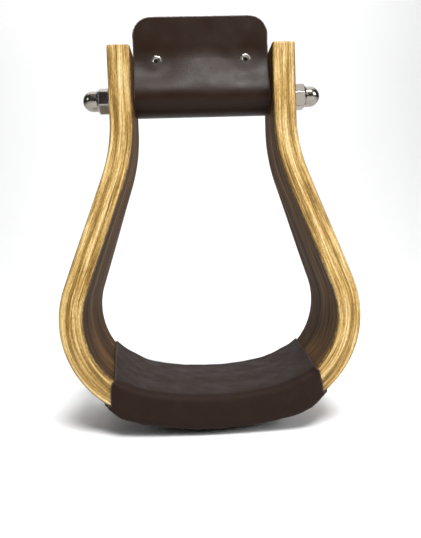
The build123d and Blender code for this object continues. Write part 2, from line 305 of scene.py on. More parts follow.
@dataclass
class Slab:
    """A flat piece of material as a grid of surface points: along it, across it and through it.

    Attributes:
        name: the piece's name.
        along: grid lines along it, in millimetres.
        across: grid lines across it.
        through: grid lines through its thickness, from the inner face to the outer.
        shape: turns arrays of along, across and through into the real flat place of each point.
        holes: round holes through it.
    """

    name: str
    along: np.ndarray
    across: np.ndarray
    through: np.ndarray
    shape: Callable[[np.ndarray, np.ndarray, np.ndarray], tuple[np.ndarray, np.ndarray, np.ndarray]]
    holes: list[Hole] = field(default_factory=list)

    @staticmethod
    def lines(low: float, high: float, step: float, centres: Iterable[list[float]] = ()) -> np.ndarray:
        """Spaced grid lines, with the lines that holes need in place of those near them.

        Args:
            low: first line.
            high: last line.
            step: the largest spacing.
            centres: groups of lines to put in as they are.

        Returns:
            All lines in order.
        """
        count = max(1, math.ceil((high - low) / step))
        kept = list(np.linspace(low, high, count + 1))
        for group in centres:
            first, last = min(group) - 0.4 * step, max(group) + 0.4 * step
            kept = [x for x in kept if x < first or x > last or x in (low, high)] + list(group)
        return np.array(sorted(set(round(x, 6) for x in kept)))

    def build(self) -> bpy.types.Object:
        """Build the flat slab as a closed mesh.

        Returns:
            The object, with its cut edges marked in the face attribute CUT_EDGE.
        """
        rows, columns, layers = len(self.along), len(self.across), len(self.through)
        index: dict[tuple[int, int, int], int] = {}
        keys: list[tuple[int, int, int]] = []
        faces: list[tuple[int, ...]] = []
        marks: list[bool] = []

        def vertex(i: int, j: int, k: int) -> int:
            """Number of the grid point, adding it when it is new."""
            key = (i, j, k)
            if key not in index:
                index[key] = len(keys)
                keys.append(key)
            return index[key]

        blocks = [self._block(hole) for hole in self.holes]
        for i in range(rows - 1):
            for j in range(columns - 1):
                if any(a <= i < b and c <= j < d for a, b, c, d in blocks):
                    continue
                for k, corners in ((layers - 1, SEEN_FROM_ABOVE), (0, SEEN_FROM_BELOW)):
                    faces.append(tuple(vertex(i + a, j + b, k) for a, b in corners))
                    marks.append(False)
        for k in range(layers - 1):
            for i in range(rows - 1):
                faces.append((vertex(i, 0, k), vertex(i + 1, 0, k),
                              vertex(i + 1, 0, k + 1), vertex(i, 0, k + 1)))
                last = columns - 1
                faces.append((vertex(i, last, k), vertex(i, last, k + 1),
                              vertex(i + 1, last, k + 1), vertex(i + 1, last, k)))
                marks += [True, True]
            for j in range(columns - 1):
                faces.append((vertex(0, j, k), vertex(0, j, k + 1),
                              vertex(0, j + 1, k + 1), vertex(0, j + 1, k)))
                last = rows - 1
                faces.append((vertex(last, j, k), vertex(last, j + 1, k),
                              vertex(last, j + 1, k + 1), vertex(last, j, k + 1)))
                marks += [True, True]
        for a, b, c, d in blocks:
            loop = [(i, c) for i in range(a, b)] + [(b, j) for j in range(c, d)]
            loop += [(i, d) for i in range(b, a, -1)] + [(a, j) for j in range(d, c, -1)]
            for here, there in zip(loop, loop[1:] + loop[:1]):
                faces.append((vertex(*here, 0), vertex(*here, layers - 1),
                              vertex(*there, layers - 1), vertex(*there, 0)))
                marks.append(True)

        numbers = np.array(keys)
        u, v, w = self.along[numbers[:, 0]], self.across[numbers[:, 1]], self.through[numbers[:, 2]]
        u, v = self._round_holes(numbers, u, v)
        flat = np.stack(self.shape(u, v, w), axis=1) * MM
        obj = mesh_object(self.name, flat, faces)
        mark = obj.data.attributes.new(CUT_EDGE, "FLOAT", "FACE")
        mark.data.foreach_set("value", np.array(marks, dtype=np.float32))
        return obj

    def _block(self, hole: Hole) -> tuple[int, int, int, int]:
        """Rows and columns of the square of cells that a hole takes out."""
        reach = 0.72 * hole.radius + 1e-4
        i = np.flatnonzero(np.abs(self.along - hole.along) <= reach)
        j = np.flatnonzero(np.abs(self.across - hole.across) <= reach)
        return i[0], i[-1], j[0], j[-1]

    def _round_holes(self, numbers: np.ndarray, u: np.ndarray, v: np.ndarray) -> tuple[np.ndarray, np.ndarray]:
        """Move the points on each hole's square of cells out to its circle."""
        for hole in self.holes:
            a, b, c, d = self._block(hole)
            i, j = numbers[:, 0], numbers[:, 1]
            rim = (i >= a) & (i <= b) & (j >= c) & (j <= d) & ((i == a) | (i == b) | (j == c) | (j == d))
            du, dv = u - hole.along, v - hole.across
            scale = np.where(rim, hole.radius / np.maximum(np.hypot(du, dv), 1e-6), 1.0)
            u, v = hole.along + du * scale, hole.across + dv * scale
        return u, v


@dataclass
class Form:
    """A curved form that flat pieces are bent round.

    Attributes:
        name: the form's name.
        line: points of the middle line that the material follows, in metres.
        start: the flat coordinate along the material, in metres, at the line's first point.
        across: the direction that lies across the material everywhere.
    """

    name: str
    line: list[Point]
    start: float
    across: Point

    def __post_init__(self) -> None:
        """Lay the middle line down as a curve for the bending tree to sample."""
        curve = bpy.data.curves.new(self.name, "CURVE")
        curve.dimensions = "3D"
        spline = curve.splines.new("POLY")
        spline.points.add(len(self.line) - 1)
        for point, place in zip(spline.points, self.line):
            point.co = (*place, 1.0)
        self.guide = bpy.data.objects.new(self.name, curve)
        bpy.context.scene.collection.objects.link(self.guide)
        self.tree = self._bending_tree()

    def _bending_tree(self) -> bpy.types.NodeTree:
        """Build the geometry tree that bends a flat piece round the form.

        Returns:
            The tree. A point at (along, across, through) goes to the middle line's point at that length,
            plus across times the across direction, plus through times the outward direction.
        """
        tree, given, result = new_tree(f"bend_round_{self.name}", {
            "Geometry": "NodeSocketGeometry", "Form": "NodeSocketObject", "Start": "NodeSocketFloat",
            "Across": "NodeSocketVector", "Material": "NodeSocketMaterial",
            "Edge Material": "NodeSocketMaterial"})
        place = add(tree, "GeometryNodeInputPosition").outputs["Position"]
        kept = add(tree, "GeometryNodeStoreNamedAttribute", {
            "Geometry": given.outputs["Geometry"], "Name": UNROLLED, "Value": place}, data_type="FLOAT_VECTOR")
        flat = add(tree, "ShaderNodeSeparateXYZ", {0: place})
        guide = add(tree, "GeometryNodeObjectInfo", {"Object": given.outputs["Form"]})
        length = add(tree, "ShaderNodeMath", {
            0: flat.outputs["X"], 1: given.outputs["Start"]}, operation="SUBTRACT")
        sample = add(tree, "GeometryNodeSampleCurve", {
            "Curves": guide.outputs["Geometry"], "Length": length.outputs[0]},
            mode="LENGTH", use_all_curves=True)
        outward = add(tree, "ShaderNodeVectorMath", {
            0: sample.outputs["Tangent"], 1: given.outputs["Across"]}, operation="CROSS_PRODUCT")
        sideways = add(tree, "ShaderNodeVectorMath", {
            0: given.outputs["Across"], "Scale": flat.outputs["Y"]}, operation="SCALE")
        lifted = add(tree, "ShaderNodeVectorMath", {
            0: outward.outputs[0], "Scale": flat.outputs["Z"]}, operation="SCALE")
        across = add(tree, "ShaderNodeVectorMath", {0: sample.outputs["Position"], 1: sideways.outputs[0]})
        bent = add(tree, "ShaderNodeVectorMath", {0: across.outputs[0], 1: lifted.outputs[0]})
        moved = add(tree, "GeometryNodeSetPosition", {
            "Geometry": kept.outputs["Geometry"], "Position": bent.outputs[0]})
        whole = add(tree, "GeometryNodeRealizeInstances", {"Geometry": moved.outputs["Geometry"]})
        body = add(tree, "GeometryNodeSetMaterial", {
            "Geometry": whole.outputs["Geometry"], "Material": given.outputs["Material"]})
        mark = add(tree, "GeometryNodeInputNamedAttribute", {"Name": CUT_EDGE}, data_type="FLOAT")
        is_edge = add(tree, "FunctionNodeCompare", {
            0: mark.outputs["Attribute"], 1: 0.5}, operation="GREATER_THAN")
        edges = add(tree, "GeometryNodeSetMaterial", {
            "Geometry": body.outputs["Geometry"], "Selection": is_edge.outputs[0],
            "Material": given.outputs["Edge Material"]})
        tree.links.new(edges.outputs["Geometry"], result.inputs["Geometry"])
        return tree

    def bend(self, obj: bpy.types.Object, material: bpy.types.Material,
             edge_material: bpy.types.Material | None = None) -> bpy.types.Object:
        """Bend a flat piece round the form.

        Args:
            obj: the flat piece.
            material: its finish.
            edge_material: the finish of its cut edges, when they look different.

        Returns:
            The same object, bent and dressed.
        """
        return run_tree(obj, self.tree, {
            "Form": self.guide, "Start": self.start, "Across": self.across, "Material": material,
            "Edge Material": edge_material or material})

    def put_away(self) -> None:
        """Remove the guide curve, which is not part of the object."""
        bpy.data.objects.remove(self.guide)


# --------------------------------------------------------------------------------------------------
# Finishes
# --------------------------------------------------------------------------------------------------


@dataclass(frozen=True)
class Finish:
    """What every finish has: a name, and the look of its surface.

    Attributes:
        name: the material's name.
        roughness: the surface's roughness.
        metallic: 1 for bare metal, 0 for anything else.
        coat: weight of a clear coat, such as varnish.
        coat_roughness: the coat's own roughness.
        specular: how strongly it mirrors, where 0.5 is usual.
    """

    name: str
    roughness: float
    metallic: float = 0.0
    coat: float = 0.0
    coat_roughness: float = 0.2
    specular: float = 0.5

    def start(self) -> tuple[bpy.types.NodeTree, bpy.types.Node]:
        """Start the material.

        Returns:
            Its node tree and its shader.
        """
        material = bpy.data.materials.new(self.name)
        material.use_nodes = True
        tree = material.node_tree
        tree.nodes.clear()
        shader = add(tree, "ShaderNodeBsdfPrincipled", {
            "Metallic": self.metallic, "Roughness": self.roughness, "Coat Weight": self.coat,
            "Coat Roughness": self.coat_roughness, "Specular IOR Level": self.specular})
        add(tree, "ShaderNodeOutputMaterial", {"Surface": shader.outputs["BSDF"]})
        return tree, shader

    def flat_place(self, tree: bpy.types.NodeTree) -> bpy.types.NodeSocket:
        """The flat place of a point in millimetres: along, across and through the material."""
        place = add(tree, "ShaderNodeAttribute", attribute_name=UNROLLED, attribute_type="GEOMETRY")
        return add(tree, "ShaderNodeVectorMath", {
            0: place.outputs["Vector"], "Scale": 1 / MM}, operation="SCALE").outputs[0]

    def material(self) -> bpy.types.Material:
        """The finished material, built once and then reused."""
        found = bpy.data.materials.get(self.name)
        return found or self.build()

    def build(self) -> bpy.types.Material:
        """Build the material."""
        raise NotImplementedError


def stretched(tree: bpy.types.NodeTree, place: bpy.types.NodeSocket, cells: Point,
              shift: Point = (0, 0, 0)) -> bpy.types.NodeSocket:
    """Scale a place so that one unit is one cell of a pattern.

    Args:
        tree: the shader tree.
        place: the place in millimetres.
        cells: the size of a cell along, across and through, in millimetres.
        shift: moves the pattern, in cells.

    Returns:
        The scaled place.
    """
    return add(tree, "ShaderNodeVectorMath", {
        0: place, 1: tuple(1 / c for c in cells), 2: shift}, operation="MULTIPLY_ADD").outputs[0]


def noise(tree: bpy.types.NodeTree, place: bpy.types.NodeSocket, detail: float,
          roughness: float = 0.5) -> bpy.types.NodeSocket:
    """Soft random pattern of one cell per unit.

    Args:
        tree: the shader tree.
        place: the place in cells, as stretched() gives it.
        detail: how many finer patterns are laid over it.
        roughness: how strong the finer patterns are.

    Returns:
        The pattern's value.
    """
    return add(tree, "ShaderNodeTexNoise", {
        "Vector": place, "Scale": 1.0, "Detail": detail, "Roughness": roughness}).outputs[0]


def blend(tree: bpy.types.NodeTree, share: bpy.types.NodeSocket, first: Colour | bpy.types.NodeSocket,
          second: Colour | bpy.types.NodeSocket) -> bpy.types.NodeSocket:
    """Colour between two colours; a share of one gives the second."""
    return add(tree, "ShaderNodeMix", {"Factor": share, 6: first, 7: second}, data_type="RGBA").outputs[2]


def shaded(tree: bpy.types.NodeTree, tone: bpy.types.NodeSocket, stops: tuple[float, ...],
           shades: tuple[str, ...]) -> bpy.types.NodeSocket:
    """Turn a tone into a colour.

    Args:
        tree: the shader tree.
        tone: the tone.
        stops: the tone at which each shade is pure.
        shades: hex colours from dark to light.

    Returns:
        The colour.
    """
    ramp = add(tree, "ShaderNodeValToRGB", {"Fac": tone})
    while len(ramp.color_ramp.elements) < len(stops):
        ramp.color_ramp.elements.new(0.5)
    for element, stop, shade in zip(ramp.color_ramp.elements, stops, shades):
        element.position = stop
        element.color = hex_colour(shade)
    return ramp.outputs["Color"]


@dataclass(frozen=True)
class FiguredVeneer(Finish):
    """Sliced walnut-brown figured veneer under satin varnish: the eye sees long dark streaks that flow
    round knots, fine open pores and a soft sheen from the varnish.

    Attributes:
        streak: length and width of a streak, in millimetres.
        pore: length and width of a pore.
        drift: how far the grain wanders sideways.
        knots: place along and across, and radius, of each knot that the grain flows round.
        shades: hex colours from the darkest streak to the lightest.
        shift: moves the whole figure, so that no two faces match.
    """

    streak: tuple[float, float] = (48.0, 2.2)
    pore: tuple[float, float] = (9.0, 0.35)
    drift: float = 9.0
    knots: tuple[Point, ...] = ()
    shades: tuple[str, ...] = ("2a190a", "54381a", "7f592b", "9f773a", "ba9250")
    shift: float = 0.0

    def build(self) -> bpy.types.Material:
        """Build the material from the figure's flow, its streaks and its pores."""
        tree, shader = self.start()
        place = self.flat_place(tree)
        wander = noise(tree, stretched(tree, place, (95.0, 34.0, 40.0), (self.shift, 0, 0)), 1.5)
        drift = add(tree, "ShaderNodeMath", {
            0: wander, 1: 2 * self.drift, 2: -self.drift}, operation="MULTIPLY_ADD")
        flat = add(tree, "ShaderNodeSeparateXYZ", {0: place})
        along = flat.outputs["X"]
        across = add(tree, "ShaderNodeMath", {0: flat.outputs["Y"], 1: drift.outputs[0]}).outputs[0]
        for knot in self.knots:
            across = self.flow_round(tree, along, across, knot)
        grain = add(tree, "ShaderNodeCombineXYZ", {"X": along, "Y": across, "Z": self.shift * 13}).outputs[0]
        streaks = noise(tree, stretched(tree, grain, (*self.streak, 1.0)), 7.0, 0.62)
        bands = noise(tree, stretched(tree, grain, (210.0, 9.0, 1.0), (3.1, 0, 0)), 2.0)
        tone = add(tree, "ShaderNodeMath", {
            0: streaks, 1: 0.62}, operation="MULTIPLY")
        tone = add(tree, "ShaderNodeMath", {
            0: bands, 1: 0.38, 2: tone.outputs[0]}, operation="MULTIPLY_ADD")
        figure = shaded(tree, tone.outputs[0], (0.30, 0.41, 0.50, 0.58, 0.68), self.shades)
        pores = noise(tree, stretched(tree, grain, (*self.pore, 1.0)), 3.0)
        open_pore = add(tree, "ShaderNodeMapRange", {
            "Value": pores, "From Min": 0.60, "From Max": 0.72, "To Min": 0.0, "To Max": 0.6})
        colour = blend(tree, open_pore.outputs[0], figure, hex_colour(self.shades[0]))
        tree.links.new(colour, shader.inputs["Base Color"])
        dents = add(tree, "ShaderNodeBump", {
            "Strength": 0.35, "Distance": 0.05 * MM, "Height": open_pore.outputs[0]}, invert=True)
        tree.links.new(dents.outputs["Normal"], shader.inputs["Normal"])
        return bpy.data.materials[self.name]

    @staticmethod
    def flow_round(tree: bpy.types.NodeTree, along: bpy.types.NodeSocket, across: bpy.types.NodeSocket,
                   knot: Point) -> bpy.types.NodeSocket:
        """Bend the grain's lines round a knot, as a stream bends round a post.

        Args:
            tree: the shader tree.
            along: place along the grain.
            across: place across the grain.
            knot: the knot's place along and across, and its radius.

        Returns:
            The place across the grain with the knot's flow in it.
        """
        at, level, radius = knot
        du = add(tree, "ShaderNodeMath", {0: along, 1: at}, operation="SUBTRACT").outputs[0]
        dv = add(tree, "ShaderNodeMath", {0: across, 1: level}, operation="SUBTRACT").outputs[0]
        square = add(tree, "ShaderNodeMath", {0: du, 1: du}, operation="MULTIPLY").outputs[0]
        distance = add(tree, "ShaderNodeMath", {0: dv, 1: dv, 2: square}, operation="MULTIPLY_ADD").outputs[0]
        soft = add(tree, "ShaderNodeMath", {0: distance, 1: 0.35 * radius * radius}).outputs[0]
        pull = add(tree, "ShaderNodeMath", {0: radius * radius, 1: soft}, operation="DIVIDE").outputs[0]
        return add(tree, "ShaderNodeMath", {
            0: dv, 1: pull, 2: across}, operation="MULTIPLY_ADD").outputs[0]


@dataclass(frozen=True)
class PlyEdge(Finish):
    """Sanded edge of light rotary-cut veneers glued in a stack, under varnish: the eye sees golden bands,
    each of its own tone, thin broken brown glue lines between them, and short dark flecks of cut grain.

    Attributes:
        ply: thickness of one veneer, in millimetres.
        first: place through the stack where the first core veneer starts.
        glue: width of a glue line.
        shades: hex colours from dark to light.
        streak_shade: the colour of dark grain that the saw cut along.
        glue_shade: the glue line's colour.
        half: half the thickness of the whole stack.
        rim: width of the dark specks where the faces' stain ran over the corner.
        rim_shade: their colour.
    """

    ply: float = 1.5
    first: float = -5.25
    glue: float = 0.26
    shades: tuple[str, ...] = ("5c431c", "8c6c32", "b99858", "e4d09c")
    streak_shade: str = "5c3e17"
    glue_shade: str = "50360f"
    half: float = 6.25
    rim: float = 0.45
    rim_shade: str = "2e1b0a"

    def build(self) -> bpy.types.Material:
        """Build the material from the veneers' tones, their grain and the glue between them."""
        tree, shader = self.start()
        place = self.flat_place(tree)
        through = add(tree, "ShaderNodeSeparateXYZ", {0: place}).outputs["Z"]
        count = add(tree, "ShaderNodeMath", {
            0: through, 1: 1 / self.ply, 2: -self.first / self.ply}, operation="MULTIPLY_ADD").outputs[0]
        number = add(tree, "ShaderNodeMath", {0: count}, operation="FLOOR").outputs[0]
        own_tone = add(tree, "ShaderNodeTexWhiteNoise", {"W": number}, noise_dimensions="1D").outputs["Value"]
        offset = add(tree, "ShaderNodeCombineXYZ", {"Z": add(tree, "ShaderNodeMath", {
            0: number, 1: 17.0}, operation="MULTIPLY").outputs[0]}).outputs[0]
        grain_place = add(tree, "ShaderNodeVectorMath", {
            0: stretched(tree, place, (34.0, 5.0, 0.9)), 1: offset}).outputs[0]
        grain = noise(tree, grain_place, 6.0, 0.7)
        fleck_place = add(tree, "ShaderNodeVectorMath", {
            0: stretched(tree, place, (1.9, 0.8, 0.6)), 1: offset}).outputs[0]
        flecks = noise(tree, fleck_place, 3.0, 0.6)
        mixed = add(tree, "ShaderNodeMath", {0: flecks, 1: 0.22}, operation="MULTIPLY").outputs[0]
        mixed = add(tree, "ShaderNodeMath", {
            0: grain, 1: 0.66, 2: mixed}, operation="MULTIPLY_ADD").outputs[0]
        mixed = add(tree, "ShaderNodeMath", {
            0: own_tone, 1: 0.07, 2: mixed}, operation="MULTIPLY_ADD").outputs[0]
        patches = noise(tree, stretched(tree, place, (38.0, 30.0, 5.0)), 3.0)
        mixed = add(tree, "ShaderNodeMath", {
            0: patches, 1: 0.34, 2: mixed}, operation="MULTIPLY_ADD").outputs[0]
        mixed = add(tree, "ShaderNodeMath", {0: mixed, 1: 0.15}, operation="SUBTRACT").outputs[0]
        figure = shaded(tree, mixed, (0.36, 0.45, 0.53, 0.66), self.shades)
        streak_place = add(tree, "ShaderNodeVectorMath", {
            0: stretched(tree, place, (30.0, 6.0, 0.34), (5.0, 0, 0)), 1: offset}).outputs[0]
        streaks = noise(tree, streak_place, 4.0, 0.6)
        dark = add(tree, "ShaderNodeMapRange", {
            "Value": streaks, "From Min": 0.54, "From Max": 0.72, "To Max": 0.7}).outputs[0]
        streaked = blend(tree, dark, figure, hex_colour(self.streak_shade))
        from_joint = add(tree, "ShaderNodeMath", {0: count, 1: 1.0}, operation="PINGPONG").outputs[0]
        to_joint = add(tree, "ShaderNodeMath", {0: from_joint, 1: 0.5}, operation="SUBTRACT").outputs[0]
        nearness = add(tree, "ShaderNodeMath", {0: to_joint}, operation="ABSOLUTE").outputs[0]
        half_glue = self.glue / self.ply / 2
        line = add(tree, "ShaderNodeMapRange", {
            "Value": nearness, "From Min": 0.5 - half_glue * 1.6, "From Max": 0.5 - half_glue * 0.4}).outputs[0]
        joint = add(tree, "ShaderNodeMath", {0: count}, operation="ROUND").outputs[0]
        joint_place = add(tree, "ShaderNodeCombineXYZ", {"Y": add(tree, "ShaderNodeMath", {
            0: joint, 1: 9.7}, operation="MULTIPLY").outputs[0]}).outputs[0]
        break_place = add(tree, "ShaderNodeVectorMath", {
            0: stretched(tree, place, (14.0, 400.0, 400.0)), 1: joint_place}).outputs[0]
        broken = noise(tree, break_place, 4.0, 0.7)
        strength = add(tree, "ShaderNodeMapRange", {
            "Value": broken, "From Min": 0.38, "From Max": 0.66, "To Min": 0.05, "To Max": 0.85}).outputs[0]
        glue = add(tree, "ShaderNodeMath", {0: line, 1: strength}, operation="MULTIPLY").outputs[0]
        glued = blend(tree, glue, streaked, hex_colour(self.glue_shade))
        depth = add(tree, "ShaderNodeMath", {0: through}, operation="ABSOLUTE").outputs[0]
        corner = add(tree, "ShaderNodeMapRange", {
            "Value": depth, "From Min": self.half - 1.4 * self.rim,
            "From Max": self.half - 0.6 * self.rim}).outputs[0]
        specks = noise(tree, stretched(tree, place, (2.4, 1.2, 0.7)), 3.0, 0.7)
        speckled = add(tree, "ShaderNodeMapRange", {
            "Value": specks, "From Min": 0.36, "From Max": 0.56, "To Min": 0.25, "To Max": 0.95}).outputs[0]
        stain = add(tree, "ShaderNodeMath", {0: corner, 1: speckled}, operation="MULTIPLY").outputs[0]
        colour = blend(tree, stain, glued, hex_colour(self.rim_shade))
        tree.links.new(colour, shader.inputs["Base Color"])
        groove = add(tree, "ShaderNodeBump", {
            "Strength": 0.5, "Distance": 0.05 * MM, "Height": glue}, invert=True)
        tree.links.new(groove.outputs["Normal"], shader.inputs["Normal"])
        return bpy.data.materials[self.name]


@dataclass(frozen=True)
class GrainLeather(Finish):
    """Vegetable-tanned harness leather, dyed and waxed: the eye sees a fine pebbled grain, a broad soft
    highlight and slight changes of tone where the dye took unevenly.

    Attributes:
        shade: the dyed colour, as hex.
        rubbed: the colour where the dye is thin.
        pebble: width of a grain pebble, in millimetres.
        relief: depth of the grain.
    """

    shade: str = "23160e"
    rubbed: str = "33241a"
    pebble: float = 0.55
    relief: float = 0.06

    def build(self) -> bpy.types.Material:
        """Build the material from the dye, the pebbles and the wax."""
        tree, shader = self.start()
        place = self.flat_place(tree)
        dye = noise(tree, stretched(tree, place, (11.0, 11.0, 11.0)), 5.0, 0.6)
        thin = add(tree, "ShaderNodeMapRange", {
            "Value": dye, "From Min": 0.50, "From Max": 0.80, "To Max": 0.25})
        colour = blend(tree, thin.outputs[0], hex_colour(self.shade), hex_colour(self.rubbed))
        tree.links.new(colour, shader.inputs["Base Color"])
        shine = add(tree, "ShaderNodeMapRange", {
            "Value": dye, "From Min": 0.35, "From Max": 0.7,
            "To Min": self.roughness - 0.05, "To Max": self.roughness + 0.09})
        tree.links.new(shine.outputs[0], shader.inputs["Roughness"])
        pebbles = add(tree, "ShaderNodeTexVoronoi", {
            "Vector": stretched(tree, place, (self.pebble,) * 3), "Scale": 1.0}, feature="SMOOTH_F1")
        fine = noise(tree, stretched(tree, place, (0.5 * self.pebble,) * 3), 3.0)
        height = add(tree, "ShaderNodeMath", {
            0: fine, 1: 0.5, 2: pebbles.outputs["Distance"]}, operation="MULTIPLY_ADD")
        grain = add(tree, "ShaderNodeBump", {
            "Strength": 0.8, "Distance": self.relief * MM, "Height": height.outputs[0]})
        tree.links.new(grain.outputs["Normal"], shader.inputs["Normal"])
        return bpy.data.materials[self.name]


@dataclass(frozen=True)
class CutLeather(Finish):
    """Cut edge of leather, dyed but not sealed: the eye sees dull matted fibres a little lighter than the
    grain side.

    Attributes:
        shade: the fibres' colour, as hex.
        tips: the colour of the fibres' tips.
        fibre: width of a bundle of fibres, in millimetres, drawn coarse enough to show.
    """

    shade: str = "33251d"
    tips: str = "6f5b4a"
    fibre: float = 0.35

    def build(self) -> bpy.types.Material:
        """Build the material from matted fibre bundles."""
        tree, shader = self.start()
        place = self.flat_place(tree)
        mat = noise(tree, stretched(tree, place, (2.5 * self.fibre, 2.5 * self.fibre, self.fibre)), 4.0, 0.7)
        tip = add(tree, "ShaderNodeMapRange", {"Value": mat, "From Min": 0.45, "From Max": 0.75})
        colour = blend(tree, tip.outputs[0], hex_colour(self.shade), hex_colour(self.tips))
        tree.links.new(colour, shader.inputs["Base Color"])
        nap = add(tree, "ShaderNodeBump", {"Strength": 0.8, "Distance": 0.2 * MM, "Height": mat})
        tree.links.new(nap.outputs["Normal"], shader.inputs["Normal"])
        return bpy.data.materials[self.name]


@dataclass(frozen=True)
class PlatedMetal(Finish):
    """Nickel-plated or plain turned steel: the eye sees sharp dark reflections, faintly blurred by
    polishing marks.

    Attributes:
        shade: the metal's colour, as hex; where it is darker than the real metal, as for the cap nuts' nickel,
            the extra darkness is painted shade standing in for dark reflections.
        marks: spacing of the polishing marks, in millimetres, drawn coarse enough to show.
        wear: how much rougher the worn patches are.
    """

    shade: str = "b4afa6"
    marks: float = 0.4
    wear: float = 0.12

    def build(self) -> bpy.types.Material:
        """Build the material from the plating and its polishing marks."""
        tree, shader = self.start()
        place = add(tree, "ShaderNodeTexCoord").outputs["Object"]
        size = add(tree, "ShaderNodeVectorMath", {0: place, "Scale": 1 / MM}, operation="SCALE").outputs[0]
        patches = noise(tree, stretched(tree, size, (3.0, 3.0, 3.0)), 4.0, 0.6)
        rough = add(tree, "ShaderNodeMapRange", {
            "Value": patches, "From Min": 0.4, "From Max": 0.75,
            "To Min": self.roughness, "To Max": self.roughness + self.wear})
        tree.links.new(rough.outputs[0], shader.inputs["Roughness"])
        shader.inputs["Base Color"].default_value = hex_colour(self.shade)
        polish = noise(tree, stretched(tree, size, (self.marks,) * 3), 2.0)
        marks = add(tree, "ShaderNodeBump", {
            "Strength": 0.08, "Distance": 0.01 * MM, "Height": polish})
        tree.links.new(marks.outputs["Normal"], shader.inputs["Normal"])
        return bpy.data.materials[self.name]


OUTER_VENEER = FiguredVeneer("satin_varnished_figured_veneer_outside", 0.42, coat=0.35, coat_roughness=0.28,
                             knots=((118.0, 9.0, 9.0), (-121.0, -12.0, 8.0)), shift=2.7)
# Painted shade: the inside face is the same veneer as the outside, given darker shades for the shade inside the
# hoop; its matt varnish is real.
INNER_VENEER = FiguredVeneer("matt_varnished_figured_veneer_inside", 0.72, specular=0.08, streak=(30.0, 1.7),
                             shades=("1c1109", "332212", "4a331c", "604627", "7a5c3a"), shift=7.9)
CORE_EDGE = PlyEdge("varnished_edge_of_light_veneers", 0.45, coat=0.1, coat_roughness=0.3, specular=0.3)
HARNESS = GrainLeather("waxed_harness_leather", 0.38, specular=0.13)
TREAD_LEATHER = GrainLeather("worn_harness_leather", 0.56, specular=0.06, shade="261b16", rubbed="3a2c24")
HARNESS_EDGE = CutLeather("cut_edge_of_harness_leather", 0.9)
TREAD_EDGE = CutLeather("burnished_edge_of_tread_leather", 0.8, shade="241812", tips="43342a")
LACE = GrainLeather("tan_lace_leather", 0.55, shade="7c4f22", rubbed="a8793f", pebble=0.5)
# Painted shade: this nickel is darker than real nickel, so that the nuts and washers look as if they mirrored
# dark surroundings.
NICKEL = PlatedMetal("polished_nickel_plate", 0.16, metallic=1.0, shade="8d8880")
RIVET_PLATE = PlatedMetal("dulled_nickel_plate", 0.26, metallic=1.0, shade="98938b")
TURNED_STEEL = PlatedMetal("turned_plain_steel", 0.35, metallic=1.0, shade="8b8c8e")


# --------------------------------------------------------------------------------------------------
# The hoop
# --------------------------------------------------------------------------------------------------


